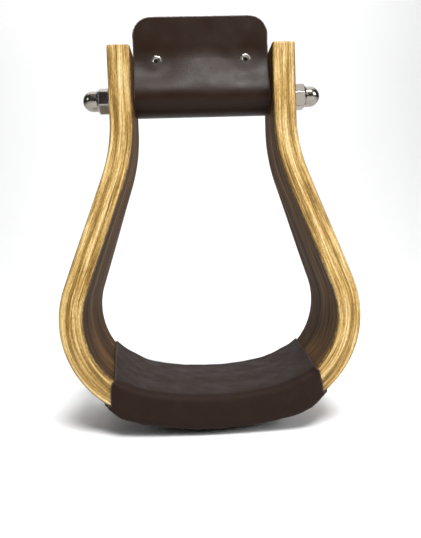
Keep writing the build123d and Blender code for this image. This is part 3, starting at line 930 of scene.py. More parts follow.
@dataclass
class Hoop:
    """The bent laminated hoop: nine plies on one form. Sizes in millimetres, angles in degrees.

    Attributes:
        bolt_height: height of the bolt's axis.
        neck_gap: clear width between the arms.
        core_plies: number of light veneers.
        core_ply: thickness of one.
        face: thickness of a face veneer.
        arm_above: straight length above the bolt.
        arm_below: straight length below the bolt.
        neck_bend: radius of the neck's bend.
        flank_angle: slope of the flank.
        flank: length of the flank.
        corner_bend: radius of the corner's bend.
        tread_slope: slope where the corner meets the tread's curve.
        arm_width: front to back at the arms.
        tread_width: front to back at the tread.
        flare_height: drop over which the width grows.
        edge_round: radius of the hoop's long edges.
        glue_groove: depth of the groove sanded along a glue line.
        bolt_hole: radius of the hole for the bolt.
    """

    bolt_height: float
    neck_gap: float = 76.2
    core_plies: int = 7
    core_ply: float = 1.5
    face: float = 1.0
    arm_above: float = 25.7
    arm_below: float = 14.5
    neck_bend: float = 92.0
    flank_angle: float = 19.5
    flank: float = 63.0
    corner_bend: float = 47.5
    tread_slope: float = 12.3
    arm_width: float = 34.0
    tread_width: float = 64.0
    flare_height: float = 145.0
    edge_round: float = 1.4
    glue_groove: float = 0.07
    bolt_hole: float = 4.25

    def __post_init__(self) -> None:
        """Work out the middle line and lay down the form."""
        self.half = (self.core_plies * self.core_ply + 2 * self.face) / 2
        right = self._right_line()
        steps = np.hypot(*np.diff(right, axis=0).T)
        self.half_length = float(steps.sum())
        self.length_at = np.concatenate([[0.0], np.cumsum(steps)])
        self.right = right
        left = right[:0:-1] * np.array([-1, 1])
        whole = np.concatenate([left, right])
        middle = [(x * MM, 0.0, z * MM) for x, z in whole]
        self.form = Form("hoop_form", middle, -self.half_length * MM, (0, -1, 0))

    def _right_line(self) -> np.ndarray:
        """The middle line's right half.

        Returns:
            Points in XZ from the middle of the tread to the top of the right arm, about 0.6 mm apart.
        """
        flank, slope = math.radians(self.flank_angle), math.radians(self.tread_slope)
        arm = self.neck_gap / 2 + self.half
        neck_end = np.array([arm, self.bolt_height - self.arm_below])
        neck_centre = neck_end + [self.neck_bend, 0]
        flank_top = neck_centre - self.neck_bend * np.array([math.cos(flank), math.sin(flank)])
        flank_foot = flank_top + self.flank * np.array([math.sin(flank), -math.cos(flank)])
        corner_centre = flank_foot - self.corner_bend * np.array([math.cos(flank), math.sin(flank)])
        turn = slope - math.pi / 2
        tread_end = corner_centre + self.corner_bend * np.array([math.cos(turn), math.sin(turn)])
        tread_bend = tread_end[0] / math.sin(slope)
        tread_centre = np.array([0, tread_end[1] + tread_bend * math.cos(slope)])

        def arc(centre: np.ndarray, radius: float, first: float, last: float) -> np.ndarray:
            """Points on an arc from one angle to another."""
            angles = np.linspace(first, last, max(2, math.ceil(radius * abs(last - first) / 0.6)) + 1)
            return centre + radius * np.stack([np.cos(angles), np.sin(angles)], axis=1)

        pieces = [
            arc(tread_centre, tread_bend, -math.pi / 2, turn),
            arc(corner_centre, self.corner_bend, turn, flank)[1:],
            arc(neck_centre, self.neck_bend, math.pi + flank, math.pi)[:],
            np.array([[arm, self.bolt_height + self.arm_above]]),
        ]
        return np.concatenate(pieces)

    def height(self, along: np.ndarray, through: np.ndarray) -> np.ndarray:
        """Height of a point of the bent hoop.

        Args:
            along: place along the hoop from the middle of the tread.
            through: place through its thickness, outwards.

        Returns:
            Heights in millimetres.
        """
        length = np.abs(along)
        run = np.interp(length, self.length_at, np.gradient(self.right[:, 0], self.length_at))
        return np.interp(length, self.length_at, self.right[:, 1]) - run * through

    def half_width(self, height: np.ndarray) -> np.ndarray:
        """Half of the hoop's front-to-back width: straight arms, then an S-curve of two equal arcs."""
        arm, tread, drop = self.arm_width / 2, self.tread_width / 2, self.flare_height
        swing = 2 * math.atan2(tread - arm, drop)
        radius = drop / (2 * math.sin(swing))
        below = np.clip(self.bolt_height - height, 0, drop)
        upper = arm + radius - np.sqrt(radius ** 2 - np.minimum(below, drop / 2) ** 2)
        lower = tread - radius + np.sqrt(radius ** 2 - np.minimum(drop - below, drop / 2) ** 2)
        return np.where(below < drop / 2, upper, lower)

    def _ply(self, name: str, inner: float, outer: float) -> Slab:
        """One ply as a flat plank.

        Args:
            name: the piece's name.
            inner: place of its inner face through the hoop's thickness.
            outer: place of its outer face.

        Returns:
            The plank, with rounded long edges where it lies near the hoop's faces and sanded glue grooves.
        """
        bolt = self.half_length - self.arm_above
        holes = [Hole(side.value * bolt, 0.0, self.bolt_hole) for side in Side]
        end = self.edge_round * np.array([0, 0.04, 0.15, 0.35, 0.62, 1.0])
        ends = [list(end - self.half_length), list(self.half_length - end)]
        along = Slab.lines(-self.half_length, self.half_length, 1.8, ends + [h.lines(h.along) for h in holes])
        edge = self.arm_width / 2 * np.array([1, 0.97, 0.8, 0.62])
        across = np.concatenate([-edge, holes[0].lines(0.0), edge[::-1]])
        groove = self.glue_groove
        through = sorted({inner, inner + groove, (inner + outer) / 2, outer - groove, outer}
                         | {place for place in self._round_lines() if inner < place < outer})

        def shape(u: np.ndarray, v: np.ndarray, w: np.ndarray) -> tuple[np.ndarray, np.ndarray, np.ndarray]:
            """Flat place of each point of the plank."""
            drawn = rounding(self.half - np.abs(w), self.edge_round)
            near_end = np.maximum(self.half_length - np.abs(u), 0)
            place = u - np.sign(u) * drawn * np.clip(1 - near_end / 12, 0, 1)
            corner = rounding(near_end, self.edge_round) * (1 - drawn / self.edge_round)
            at_glue = np.minimum(np.abs(w - inner), np.abs(w - outer))
            inside = np.abs(w) < self.half - self.edge_round
            sanded = np.where(inside, np.clip(groove - at_glue, 0, groove), 0)
            half = self.half_width(self.height(place, w)) - drawn - corner - sanded
            spread = np.clip((np.abs(v) - 7.0) / 3.5, 0, 1)  # the lines round the bolt keep their place
            return place, v * (1 + (half / (self.arm_width / 2) - 1) * spread), w

        return Slab(name, along, across, np.array(through), shape, holes)

    def _round_lines(self) -> list[float]:
        """Lines through the thickness that a rounded edge needs to look round."""
        turns = np.radians([0, 15, 30, 45, 60, 75, 90])
        depths = self.edge_round * (1 - np.sin(turns))
        return [side * (self.half - depth) for side in (-1, 1) for depth in depths]

    def build(self) -> None:
        """Build, bend and dress the nine plies."""
        plies = [("inner_face_veneer", -self.half, -self.half + self.face, INNER_VENEER, Slot.FACE)]
        start = -self.half + self.face
        for number in range(self.core_plies):
            low = start + number * self.core_ply
            plies.append((f"core_ply_{number + 1}", low, low + self.core_ply, CORE_EDGE, Slot.CORE))
        plies.append(("outer_face_veneer", self.half - self.face, self.half, OUTER_VENEER, Slot.FACE))
        for node, inner, outer, finish, slot in plies:
            plank = self._ply(f"{node}_wood", inner, outer).build()
            self.form.bend(plank, finish.material(), CORE_EDGE.material())
            settle(plank, Body.HOOP, slot, node)


# --------------------------------------------------------------------------------------------------
# Leather on the bolt
# --------------------------------------------------------------------------------------------------


@dataclass
class BoltWrap:
    """The strap of leather folded round the roller, with its two riveted leaves. Sizes in millimetres.

    Attributes:
        bolt_height: height of the bolt's axis.
        width: side to side.
        thickness: the leather's thickness.
        roller: radius of the tube inside.
        rise: height of the leaves' top above the bolt's axis.
        leaf_gap: space between the leaves at the rivets.
        leaf_bend: middle radius of the bend from the roller up into a leaf.
        ease: distance over which the thick leather eases from one bend into the next.
        corner: radius of the leaves' top corners.
        rivet_spacing: from rivet to rivet.
        rivet_rise: height of the rivets above the bolt's axis.
        rivet_hole: radius of a rivet's hole.
        puff: how far the leaves swell apart away from the rivets.
        belly: how far the leather stands out below and between the rivets.
        edge_round: radius of the strap's worn edges.
        back_offset: how much higher the back leaf was cut.
    """

    bolt_height: float
    width: float = 75.7
    thickness: float = 3.2
    roller: float = 6.35
    rise: float = 44.8
    leaf_gap: float = 0.3
    leaf_bend: float = 40.0
    ease: float = 4.8
    corner: float = 10.5
    rivet_spacing: float = 50.0
    rivet_rise: float = 20.5
    rivet_hole: float = 1.85
    puff: float = 0.35
    belly: float = 0.9
    edge_round: float = 0.7
    back_offset: float = 1.2

    def __post_init__(self) -> None:
        """Work out the folded middle line and lay down the form."""
        self.leaf_y = self.leaf_gap / 2 + self.thickness / 2
        snug = self.roller + self.thickness / 2
        radius = snug + self.ease ** 2 / (2 * snug)  # easing draws a bend in by this much
        centre_y = self.leaf_y + self.leaf_bend
        reach = radius + self.leaf_bend
        meet = math.asin(centre_y / reach)
        centre_z = reach * math.cos(meet)
        count = 60
        leaf = [(self.leaf_y, self.rise), (self.leaf_y, centre_z)]
        turns = np.linspace(math.pi, 1.5 * math.pi - meet, count)
        bend = [(centre_y + self.leaf_bend * math.cos(a), centre_z + self.leaf_bend * math.sin(a))
                for a in turns[1:]]
        round_roller = np.linspace(math.pi / 2 - meet, -math.pi / 2, 2 * count)
        under = [(radius * math.cos(a), radius * math.sin(a)) for a in round_roller[1:]]
        back = np.array(leaf + bend + under)
        front = back[-2::-1] * np.array([-1, 1])
        line = eased(np.concatenate([back, front]), 0.4, self.ease)
        steps = np.hypot(*np.diff(line, axis=0).T)
        self.half_length = float(steps.sum()) / 2
        self.leaf_length = self.rise - centre_z
        self.rivet_along = self.half_length - (self.rise - self.rivet_rise)
        self.form = Form("roller_form", [(0.0, y * MM, (z + self.bolt_height) * MM) for y, z in line],
                         -self.half_length * MM, (-1, 0, 0))

    def _strap(self) -> Slab:
        """The strap, flat: back leaf at one end, front leaf at the other."""
        holes = [Hole(end * self.rivet_along, side.value * self.rivet_spacing / 2, self.rivet_hole)
                 for end in (-1, 1) for side in Side]
        tip = self.corner * (1 - np.cos(np.radians(np.linspace(0, 90, 13))))
        ends = [list(tip - self.half_length), list(self.half_length - tip)]
        rows = [hole.lines(hole.along) for hole in holes[::2]]
        columns = [hole.lines(hole.across) for hole in holes[:2]]
        rim = self.edge_round * np.array([0, 0.3, 0.7, 1.2, 2.2])
        sides = [list(rim - self.width / 2), list(self.width / 2 - rim)]
        along = Slab.lines(-self.half_length, self.half_length, 1.25, ends + rows)
        across = Slab.lines(-self.width / 2, self.width / 2, 1.6, sides + columns)
        depth = self.thickness * np.array([0, 0.05, 0.13, 0.3, 0.5, 0.7, 0.87, 0.95, 1])
        return Slab("bolt_wrap_leather", along, across, depth - self.thickness / 2, self._shape, holes)

    def _shape(self, u: np.ndarray, v: np.ndarray, w: np.ndarray) -> tuple[np.ndarray, np.ndarray, np.ndarray]:
        """Flat place of each point of the strap, with worn edges, rounded tips and leaves that swell apart."""
        face = self.thickness / 2 - np.abs(w)
        worn = rounding(face, self.edge_round)
        to_end = self.half_length - np.abs(u)
        tip = rounding(to_end, self.corner) * np.where(u < 0, 0.86, 1.0)
        half = self.width / 2
        rim = np.clip((np.abs(v) - (half - 3)) / 3, 0, 1)
        ragged = 0.10 * wave(u + 7 * np.sign(v), 11, 9.0) * rim
        across = v * (half - tip) / half
        across = across - np.sign(v) * worn * rim + ragged
        end_share = np.clip(1 - to_end / 3, 0, 1)
        frayed = 0.12 * wave(v + 3 * w, 23, 5.0) * end_share
        longer = np.where(u < 0, self.back_offset + 0.02 * v, 0.0) * np.clip(1 - to_end / 12, 0, 1)
        along = u - np.sign(u) * (worn * end_share - longer) + frayed * np.sign(u)
        leaf = np.clip((np.abs(u) - (self.half_length - self.leaf_length - 6)) / 10, 0, 1)
        leaf = leaf * leaf * (3 - 2 * leaf)
        swell = np.ones_like(u)
        for side in Side:
            distance = np.hypot(np.abs(u) - self.rivet_along, v - side.value * self.rivet_spacing / 2)
            swell *= 1 - np.exp(-(np.maximum(distance - 2.8, 0) / 5.5) ** 2)
        soft = 0.10 * wave(v, 5, 60.0) + 0.08 * wave(u, 6, 45.0)
        height = np.abs(u) - self.rivet_along
        pinned = np.exp(-((np.abs(v) - self.rivet_spacing / 2) / 9.0) ** 2)
        belly = np.exp(-((height + 5) / 8.0) ** 2) * (np.exp(-(v / 15.0) ** 2) - 0.7 * pinned)
        lift = self.puff * swell * leaf + 0.6 * soft * swell * leaf + self.belly * belly * swell
        back_lean = np.where(u < 0, 0.35, 0.0) * leaf * np.clip(1 - to_end / 14, 0, 1)
        return along, across, w + lift + back_lean

    def build(self) -> bpy.types.Object:
        """Build, fold and dress the strap."""
        strap = self._strap().build()
        self.form.bend(strap, HARNESS.material(), HARNESS_EDGE.material())
        return settle(strap, Body.ROLLER, Slot.LEATHER, "bolt_wrap")


@dataclass
class EdgeFibres:
    """Loose fibres that stand out of a cut leather edge.

    Attributes:
        name: the piece's name.
        length: length of a fibre, in millimetres.
        width: width of one, drawn as a bundle coarse enough to show.
        density: how many stand on a square metre.
        above: lowest height of the edge that they stand on, in millimetres.
    """

    name: str
    above: float
    length: float = 0.9
    width: float = 0.08
    density: float = 4.0e6

    def build(self, leather: bpy.types.Object, material: bpy.types.Material) -> bpy.types.Object:
        """Grow the fibres on a piece's cut edges.

        Args:
            leather: the piece; it isn't changed.
            material: the fibres' finish.

        Returns:
            The fibres as a piece of their own.
        """
        obj = bpy.data.objects.new(self.name, leather.data.copy())
        bpy.context.scene.collection.objects.link(obj)
        return run_tree(obj, self._tree(), {
            "Above": self.above * MM, "Length": self.length * MM, "Width": self.width * MM,
            "Density": self.density, "Material": material})

    def _tree(self) -> bpy.types.NodeTree:
        """Build the geometry tree that scatters the fibres."""
        tree, given, result = new_tree("grow_edge_fibres", {
            "Geometry": "NodeSocketGeometry", "Above": "NodeSocketFloat", "Length": "NodeSocketFloat",
            "Width": "NodeSocketFloat", "Density": "NodeSocketFloat", "Material": "NodeSocketMaterial"})
        mark = add(tree, "GeometryNodeInputNamedAttribute", {"Name": CUT_EDGE}, data_type="FLOAT")
        place = add(tree, "ShaderNodeSeparateXYZ", {
            0: add(tree, "GeometryNodeInputPosition").outputs["Position"]})
        high = add(tree, "ShaderNodeMath", {
            0: place.outputs["Z"], 1: given.outputs["Above"]}, operation="GREATER_THAN")
        chosen = add(tree, "ShaderNodeMath", {
            0: high.outputs[0], 1: mark.outputs["Attribute"]}, operation="MULTIPLY")
        chosen = add(tree, "FunctionNodeCompare", {0: chosen.outputs[0], 1: 0.5}, operation="GREATER_THAN")
        roots = add(tree, "GeometryNodeDistributePointsOnFaces", {
            "Mesh": given.outputs["Geometry"], "Selection": chosen.outputs[0],
            "Density": given.outputs["Density"], "Seed": 7})
        fibre = add(tree, "GeometryNodeMeshCone", {
            "Vertices": 4, "Radius Top": 0.0, "Radius Bottom": given.outputs["Width"],
            "Depth": given.outputs["Length"]})
        lean = add(tree, "FunctionNodeRandomValue", {
            "Min": (-0.9, -0.9, 0.0), "Max": (0.9, 0.9, 6.28), "Seed": 11}, data_type="FLOAT_VECTOR")
        turned = add(tree, "FunctionNodeRotateRotation", {
            "Rotation": roots.outputs["Rotation"], "Rotate By": lean.outputs[0]}, rotation_space="LOCAL")
        size = add(tree, "FunctionNodeRandomValue", {"Min": 0.4, "Max": 1.0, "Seed": 13}, data_type="FLOAT")
        placed = add(tree, "GeometryNodeInstanceOnPoints", {
            "Points": roots.outputs["Points"], "Instance": fibre.outputs["Mesh"],
            "Rotation": turned.outputs[0], "Scale": size.outputs[1]})
        whole = add(tree, "GeometryNodeRealizeInstances", {"Geometry": placed.outputs["Instances"]})
        dressed = add(tree, "GeometryNodeSetMaterial", {
            "Geometry": whole.outputs["Geometry"], "Material": given.outputs["Material"]})
        tree.links.new(dressed.outputs["Geometry"], result.inputs["Geometry"])
        return tree


# --------------------------------------------------------------------------------------------------
# Metal
# --------------------------------------------------------------------------------------------------


@dataclass
class Turned:
    """A turned piece: rings of points round an axis, closed at the axis or joined into a ring.

    Attributes:
        name: the piece's name.
        profile: radius and place along the axis of each ring, in millimetres; outside on the left of the path.
        origin: where the axis starts, in millimetres.
        axis: the axis's direction, along X or Y.
        segments: how many points a ring has.
        shape: changes the radius of a ring, given its number and the angles of its points.
        bevel: width of the bevel on sharp edges, in millimetres.
    """

    name: str
    profile: list[tuple[float, float]]
    origin: Point
    axis: Point
    segments: int = 96
    shape: Callable[[int, float, np.ndarray], np.ndarray] | None = None
    bevel: float = 0.0

    def build(self, material: bpy.types.Material) -> bpy.types.Object:
        """Turn the piece and dress it.

        Args:
            material: its finish.

        Returns:
            The object.
        """
        angles = np.linspace(0, 2 * math.pi, self.segments, endpoint=False)
        axis = Vector(self.axis)
        first = Vector((0, 0, 1))
        second = axis.cross(first)
        vertices: list[Vector] = []
        rings: list[list[int]] = []
        for number, (radius, place) in enumerate(self.profile):
            count = len(vertices)
            base = Vector(self.origin) + axis * place
            if radius == 0:
                vertices.append(base)
                rings.append([count])
                continue
            reach = np.full(self.segments, radius) if self.shape is None else self.shape(number, radius, angles)
            vertices += [base + first * (r * math.cos(a)) + second * (r * math.sin(a))
                         for a, r in zip(angles, reach)]
            rings.append(list(range(count, count + self.segments)))
        closed = self.profile[0][0] > 0
        pairs = list(zip(rings, rings[1:] + rings[:1])) if closed else list(zip(rings, rings[1:]))
        faces: list[tuple[int, ...]] = []
        for low, high in pairs:
            for i in range(self.segments):
                j = (i + 1) % self.segments
                if len(low) == 1:
                    faces.append((low[0], high[j], high[i]))
                elif len(high) == 1:
                    faces.append((low[i], low[j], high[0]))
                else:
                    faces.append((low[i], low[j], high[j], high[i]))
        obj = mesh_object(self.name, [v * MM for v in vertices], faces, 25.0)
        obj.data.materials.append(material)
        if self.bevel:
            bevel = obj.modifiers.new("bevel", "BEVEL")
            bevel.width = self.bevel * MM
            bevel.segments = 3
            bevel.limit_method = "ANGLE"
            bevel.angle_limit = math.radians(20)
            bevel.harden_normals = False
            bake_modifiers(obj)
        return obj


@dataclass
class BoltEnd:
    """The washer and cap nut outside one arm. Sizes in millimetres.

    Attributes:
        side: which arm.
        bolt_height: height of the bolt's axis.
        face: distance from the middle to the arm's outer face.
        washer_radius: the washer's outer radius.
        washer: the washer's thickness.
        hole: radius of its hole.
        flats: the nut's width across flats.
        hexagon: height of its hexagon.
        height: its whole height.
        dome: radius of its dome.
        bore: depth of its blind bore.
        thread: radius of the bore.
        turn: how far the nut is turned, in degrees.
    """

    side: Side
    bolt_height: float
    face: float = 50.6
    washer_radius: float = 8.5
    washer: float = 1.6
    hole: float = 4.25
    flats: float = 13.0
    hexagon: float = 6.5
    height: float = 15.0
    dome: float = 5.6
    bore: float = 12.0
    thread: float = 4.0
    turn: float = 0.0

    def _nut_shape(self, number: int, radius: float, angles: np.ndarray) -> np.ndarray:
        """Radius of the nut round one ring: a hexagon with rounded corners where the ring is on its sides."""
        if not 3 <= number <= 5:
            return np.full(len(angles), radius)
        off = (angles - math.radians(self.turn) + math.pi / 6) % (math.pi / 3) - math.pi / 6
        corner = self.flats / 2 / math.cos(math.pi / 6)
        plain = self.flats / 2 / np.cos(off)
        return np.minimum(plain, corner - 0.22)

    def build(self) -> None:
        """Build both pieces."""
        name = self.side.name.lower()
        axis = (float(self.side.value), 0.0, 0.0)
        origin = (self.side.value * self.face, 0.0, self.bolt_height)
        edge = 0.25
        ring = [(self.hole, 0), (self.hole, self.washer), (self.washer_radius - edge, self.washer),
                (self.washer_radius, self.washer - edge), (self.washer_radius, edge),
                (self.washer_radius - edge, 0)]
        washer = Turned(f"{name}_washer_metal", ring[::-1], origin, axis, bevel=0.12).build(NICKEL.material())
        settle(washer, Body.HOOP, Slot.NICKEL, f"{name}_washer")

        half = self.flats / 2
        corner = half / math.cos(math.pi / 6)
        slope = math.tan(math.radians(30))
        neck = self.height - self.dome
        turns = np.radians(np.linspace(0, 90, 15))[1:-1]
        profile = [(0, self.bore), (self.thread, self.bore), (self.thread, 0), (half - 0.1, 0),
                   (corner, (corner - half) * slope), (corner, self.hexagon - (corner - self.dome) * slope),
                   (self.dome + 0.35, self.hexagon - 0.1), (self.dome, self.hexagon + 0.25), (self.dome, neck)]
        profile += [(self.dome * math.cos(t), neck + self.dome * math.sin(t)) for t in turns]
        profile.append((0, self.height))
        start = (origin[0] + self.side.value * self.washer, 0.0, self.bolt_height)
        nut = Turned(f"{name}_cap_nut_metal", profile, start, axis, shape=self._nut_shape, bevel=0.14)
        settle(nut.build(NICKEL.material()), Body.HOOP, Slot.NICKEL, f"{name}_cap_nut")


@dataclass
class WrapRivet:
    """A tubular rivet through both leaves of the wrap: domed head behind, clinched ring in front.
    Millimetres.

    Attributes:
        side: which rivet.
        height: height of its axis.
        across: distance of its axis from the middle.
        grip: distance from the middle plane to either outer face of the leaves.
        shank: radius of the shank.
        bore: radius of the bore.
        head: radius of the head.
        crown: height of the head.
        ring: radius of the clinched ring.
        roll: height of the clinched ring.
        splits: how many times the ring split as it was clinched.
    """

    side: Side
    height: float
    across: float = 25.0
    grip: float = 3.35
    shank: float = 1.8
    bore: float = 1.2
    head: float = 3.6
    crown: float = 1.0
    ring: float = 3.35
    roll: float = 0.8
    splits: int = 6

    def _shape(self, number: int, radius: float, angles: np.ndarray) -> np.ndarray:
        """Radius round one ring of points: the clinched ring is split and uneven."""
        if radius <= self.bore + 1e-6 or radius > self.ring or number < 3:
            return np.full(len(angles), radius)
        lobes = np.abs(np.cos(self.splits / 2 * angles + self.side.value * 0.6)) ** 0.35
        uneven = 0.06 * np.sin(2 * angles + 1.3 * self.side.value) + 0.04 * np.sin(5 * angles)
        share = (radius - self.bore) / (self.ring - self.bore)
        return radius * (1 - 0.12 * share * (1 - lobes) + 0.5 * share * uneven)

    def build(self) -> bpy.types.Object:
        """Build the rivet."""
        grip, outer = self.grip, self.ring
        middle = (self.bore + outer) / 2
        reach = (outer - self.bore) / 2
        head = [(0, -grip - self.crown)]
        head += [(self.head * share, -grip - self.crown * (1 - 0.72 * share ** 2))
                 for share in (0.25, 0.5, 0.75, 0.93)]
        head += [(self.head, -grip - 0.16), (self.head - 0.05, -grip)]
        turns = np.radians(np.linspace(0, 180, 9))
        roll = [(middle + reach * math.cos(t), grip + 0.1 + (self.roll - 0.1) * math.sin(t)) for t in turns]
        profile = head + [(self.shank, -grip), (self.shank, grip), (outer - 0.05, grip)] + roll
        profile += [(self.bore, grip - 0.2), (self.bore, -grip + 0.6), (0, -grip + 0.6)]
        origin = (self.side.value * self.across, 0.0, self.height)
        rivet = Turned(f"{self.side.name.lower()}_wrap_rivet_metal", profile, origin, (0.0, -1.0, 0.0),
                       segments=72, shape=self._shape).build(RIVET_PLATE.material())
        return settle(rivet, Body.ROLLER, Slot.RIVET, f"{self.side.name.lower()}_wrap_rivet")


# --------------------------------------------------------------------------------------------------
# Leather on the tread
# --------------------------------------------------------------------------------------------------


@dataclass
class TreadCover:
    """Leather folded round the tread, with a laced seam underneath, on the hoop's form. Sizes in millimetres.

    Attributes:
        hoop: the hoop that it covers.
        reach: how far it reaches each way from the middle.
        thickness: the leather's thickness.
        seam: gap between its edges underneath.
        hole_reach: distance of the lace's holes from the seam's middle.
        hole: radius of a lace hole.
        pitch: distance from stitch to stitch.
        stitches: how many stitches cross the seam outside.
        lace_width: width of the lace.
        lace_thickness: thickness of the lace.
        lift: how far the lace's crown stands off the leather.
        edge_round: radius of the worn edges.
        left_slant: how much shorter the left end was cut at the front than at the middle, and longer at the
            back.
        right_slant: the same at the right end.
        front_slant: how much more was cut away down the front face, at both ends.
        skive: the share of its thickness that was pared off towards the ends.
    """

    hoop: Hoop
    reach: float = 66.0
    thickness: float = 3.2
    seam: float = 9.0
    hole_reach: float = 11.0
    hole: float = 1.9
    pitch: float = 14.95
    stitches: int = 7
    lace_width: float = 4.5
    lace_thickness: float = 1.6
    lift: float = 1.5
    edge_round: float = 0.8
    left_slant: float = 6.5
    right_slant: float = 2.0
    front_slant: float = 6.5
    skive: float = 0.62

    def __post_init__(self) -> None:
        """Work out where the section's runs and corners start, along the leather from the tread's middle."""
        self.flat = self.hoop.tread_width / 2 - self.hoop.edge_round
        self.turn_length = (self.hoop.edge_round + self.thickness / 2) * math.pi / 2
        self.at_edge = self.flat + self.turn_length
        self.past_edge = self.at_edge + 2 * (self.hoop.half - self.hoop.edge_round)
        self.at_outside = self.past_edge + self.turn_length
        self.at_seam = self.at_outside + self.flat - self.seam / 2
        self.at_hole = self.at_outside + self.flat - self.hole_reach
        self.slant = self.pitch / 4

    def _stitch_places(self) -> np.ndarray:
        """Place of each outside stitch's middle along the tread."""
        return (np.arange(self.stitches) - (self.stitches - 1) / 2) * self.pitch

    def _section(self, v: np.ndarray, depth: np.ndarray) -> tuple[np.ndarray, np.ndarray]:
        """Fold one section of the leather round the hoop's.

        Args:
            v: place across the leather, from the middle of the tread's upper face.
            depth: height above the wood.

        Returns:
            Place across the hoop and through it.
        """
        length, radius = np.abs(v), self.hoop.edge_round + depth
        straight = self.hoop.half - self.hoop.edge_round
        upper = np.clip((length - self.flat) / self.turn_length, 0, 1) * math.pi / 2
        lower = np.clip((length - self.past_edge) / self.turn_length, 0, 1) * math.pi / 2
        down = np.clip(length - self.at_edge, 0, self.past_edge - self.at_edge)
        across = np.minimum(length, self.flat) + radius * np.sin(upper)
        across = across - radius * (1 - np.cos(lower)) - np.maximum(length - self.at_outside, 0)
        through = -straight - radius * np.cos(upper) + down + radius * np.sin(lower)
        return -np.sign(v) * across, through

    def _shape(self, u: np.ndarray, v: np.ndarray, w: np.ndarray) -> tuple[np.ndarray, np.ndarray, np.ndarray]:
        """Flat place of each point of the cover, with worn, curled edges and leather pulled by the lace."""
        share = w / self.thickness
        worn = rounding(np.minimum(w, self.thickness - w), self.edge_round)
        to_end = self.reach - np.abs(u)
        end_share = np.clip(1 - to_end / 3, 0, 1)
        cut = 0.45 * wave(v + 20 * np.sign(u), 31, 62.0) + 0.15 * wave(v, 32, 11.0)
        level = np.clip((self.at_seam - np.abs(v)) / (self.at_seam - self.past_edge), 0, 1)
        slope = np.clip(-v / self.flat, -1, 1) * np.where(u < 0, self.left_slant, self.right_slant)
        down_front = np.clip((-v - self.at_edge) / (self.past_edge - self.at_edge), 0, 1)
        slope = (slope + self.front_slant * down_front) * level
        along = u - np.sign(u) * (worn * end_share + slope * np.clip(1 - to_end / 25, 0, 1))
        along = along + cut * np.clip(1 - to_end / 12, 0, 1)
        to_seam = self.at_seam - np.abs(v)
        seam_share = np.clip(1 - to_seam / 3, 0, 1)
        ragged = 0.35 * wave(u + 9 * np.sign(v), 33, 17.0) * np.clip(1 - to_seam / 5, 0, 1)
        across = v - np.sign(v) * worn * seam_share + ragged
        curl = 0.45 * (0.6 + 0.5 * wave(v, 34, 40.0)) * np.clip(1 - to_end / 5, 0, 1) ** 2
        pulled = np.zeros_like(u)
        for place in self._stitch_places():
            for side in (-1, 1):
                distance = np.hypot(u - (place - side * self.slant), v - side * self.at_hole)
                pulled += np.exp(-(distance / 4.0) ** 2)
        tense = 0.45 * np.exp(-((to_seam - 4) / 7) ** 2) * (np.abs(u) < self.reach - 6) * (1 - 1.7 * pulled)
        soft = 0.16 * wave(u, 35, 48.0) + 0.14 * wave(v, 36, 37.0) + 0.07 * wave(u + v, 37, 13.0)
        skived = w * (1 - self.skive * np.clip(1 - to_end / 14, 0, 1))
        y, n = self._section(across, skived + curl + share * (soft + tense))
        return along, y, n

    def _cover(self) -> Slab:
        """The cover, flat along the tread and folded across it."""
        holes = []
        for place in self._stitch_places():
            for side in (-1, 1):
                holes.append(Hole(place - side * self.slant, side * self.at_hole, self.hole))
        rim = self.edge_round * np.array([0, 0.3, 0.7, 1.3, 2.5])
        ends = [list(rim - self.reach), list(self.reach - rim)]
        rows = [hole.lines(hole.along) for hole in holes]
        along = Slab.lines(-self.reach, self.reach, 1.5, ends + rows)
        seams = [list(rim - self.at_seam), list(self.at_seam - rim)]
        folds = []
        for start in (self.flat, self.past_edge):
            bend = list(np.linspace(start, start + self.turn_length, 9))
            folds += [bend, [-x for x in bend[::-1]]]
        columns = [hole.lines(hole.across) for hole in holes[:2]]
        across = Slab.lines(-self.at_seam, self.at_seam, 1.9, seams + folds + columns)
        depth = self.thickness * np.array([0, 0.06, 0.16, 0.5, 0.84, 0.94, 1])
        return Slab("tread_cover_leather", along, across, depth, self._shape, holes)

    def _lace_path(self) -> tuple[np.ndarray, np.ndarray]:
        """Middle line of the lace and the direction of its width, in flat places.

        Returns:
            Points and directions, one row each.
        """
        outside = self.hoop.half + self.thickness
        top = outside + self.lift + self.lace_thickness / 2
        under = self.hoop.half + self.lace_thickness / 2 + 0.1
        over_rise = [(-1.0, under + 1.6), (-0.985, outside - 0.1), (-0.90, outside + 1.0), (-0.70, top - 0.45),
                     (-0.42, top - 0.05), (0.0, top), (0.42, top - 0.05), (0.70, top - 0.45),
                     (0.90, outside + 1.0),
                     (0.985, outside - 0.1), (1.0, under + 1.6)]
        points: list[tuple[float, float, float]] = []
        widths: list[tuple[float, float, float]] = []
        reach, slant = self.hole_reach, self.slant
        length = math.hypot(2 * reach, 2 * slant)
        for number, place in enumerate(self._stitch_places()):
            lean = 0.35 * math.sin(2.1 * number)
            for share, height in over_rise:
                middle = 1 - share * share
                uneven = 0.22 * math.sin(1.7 * number + 2 * share)
                points.append((place + share * slant + lean * middle, share * reach, height + uneven * middle))
                widths.append((2 * reach / length, -2 * slant / length, 0.10 * math.sin(number * 1.3)))
            if number < self.stitches - 1:
                for share in (0.93, 0.6, 0.2, -0.2, -0.6, -0.93):
                    along = place + self.pitch / 2 - share * (self.pitch / 2 - slant)
                    points.append((along, share * reach, under))
                    widths.append((2 * reach / length, 2 * slant / length, 0.0))
        return np.array(points), np.array(widths)

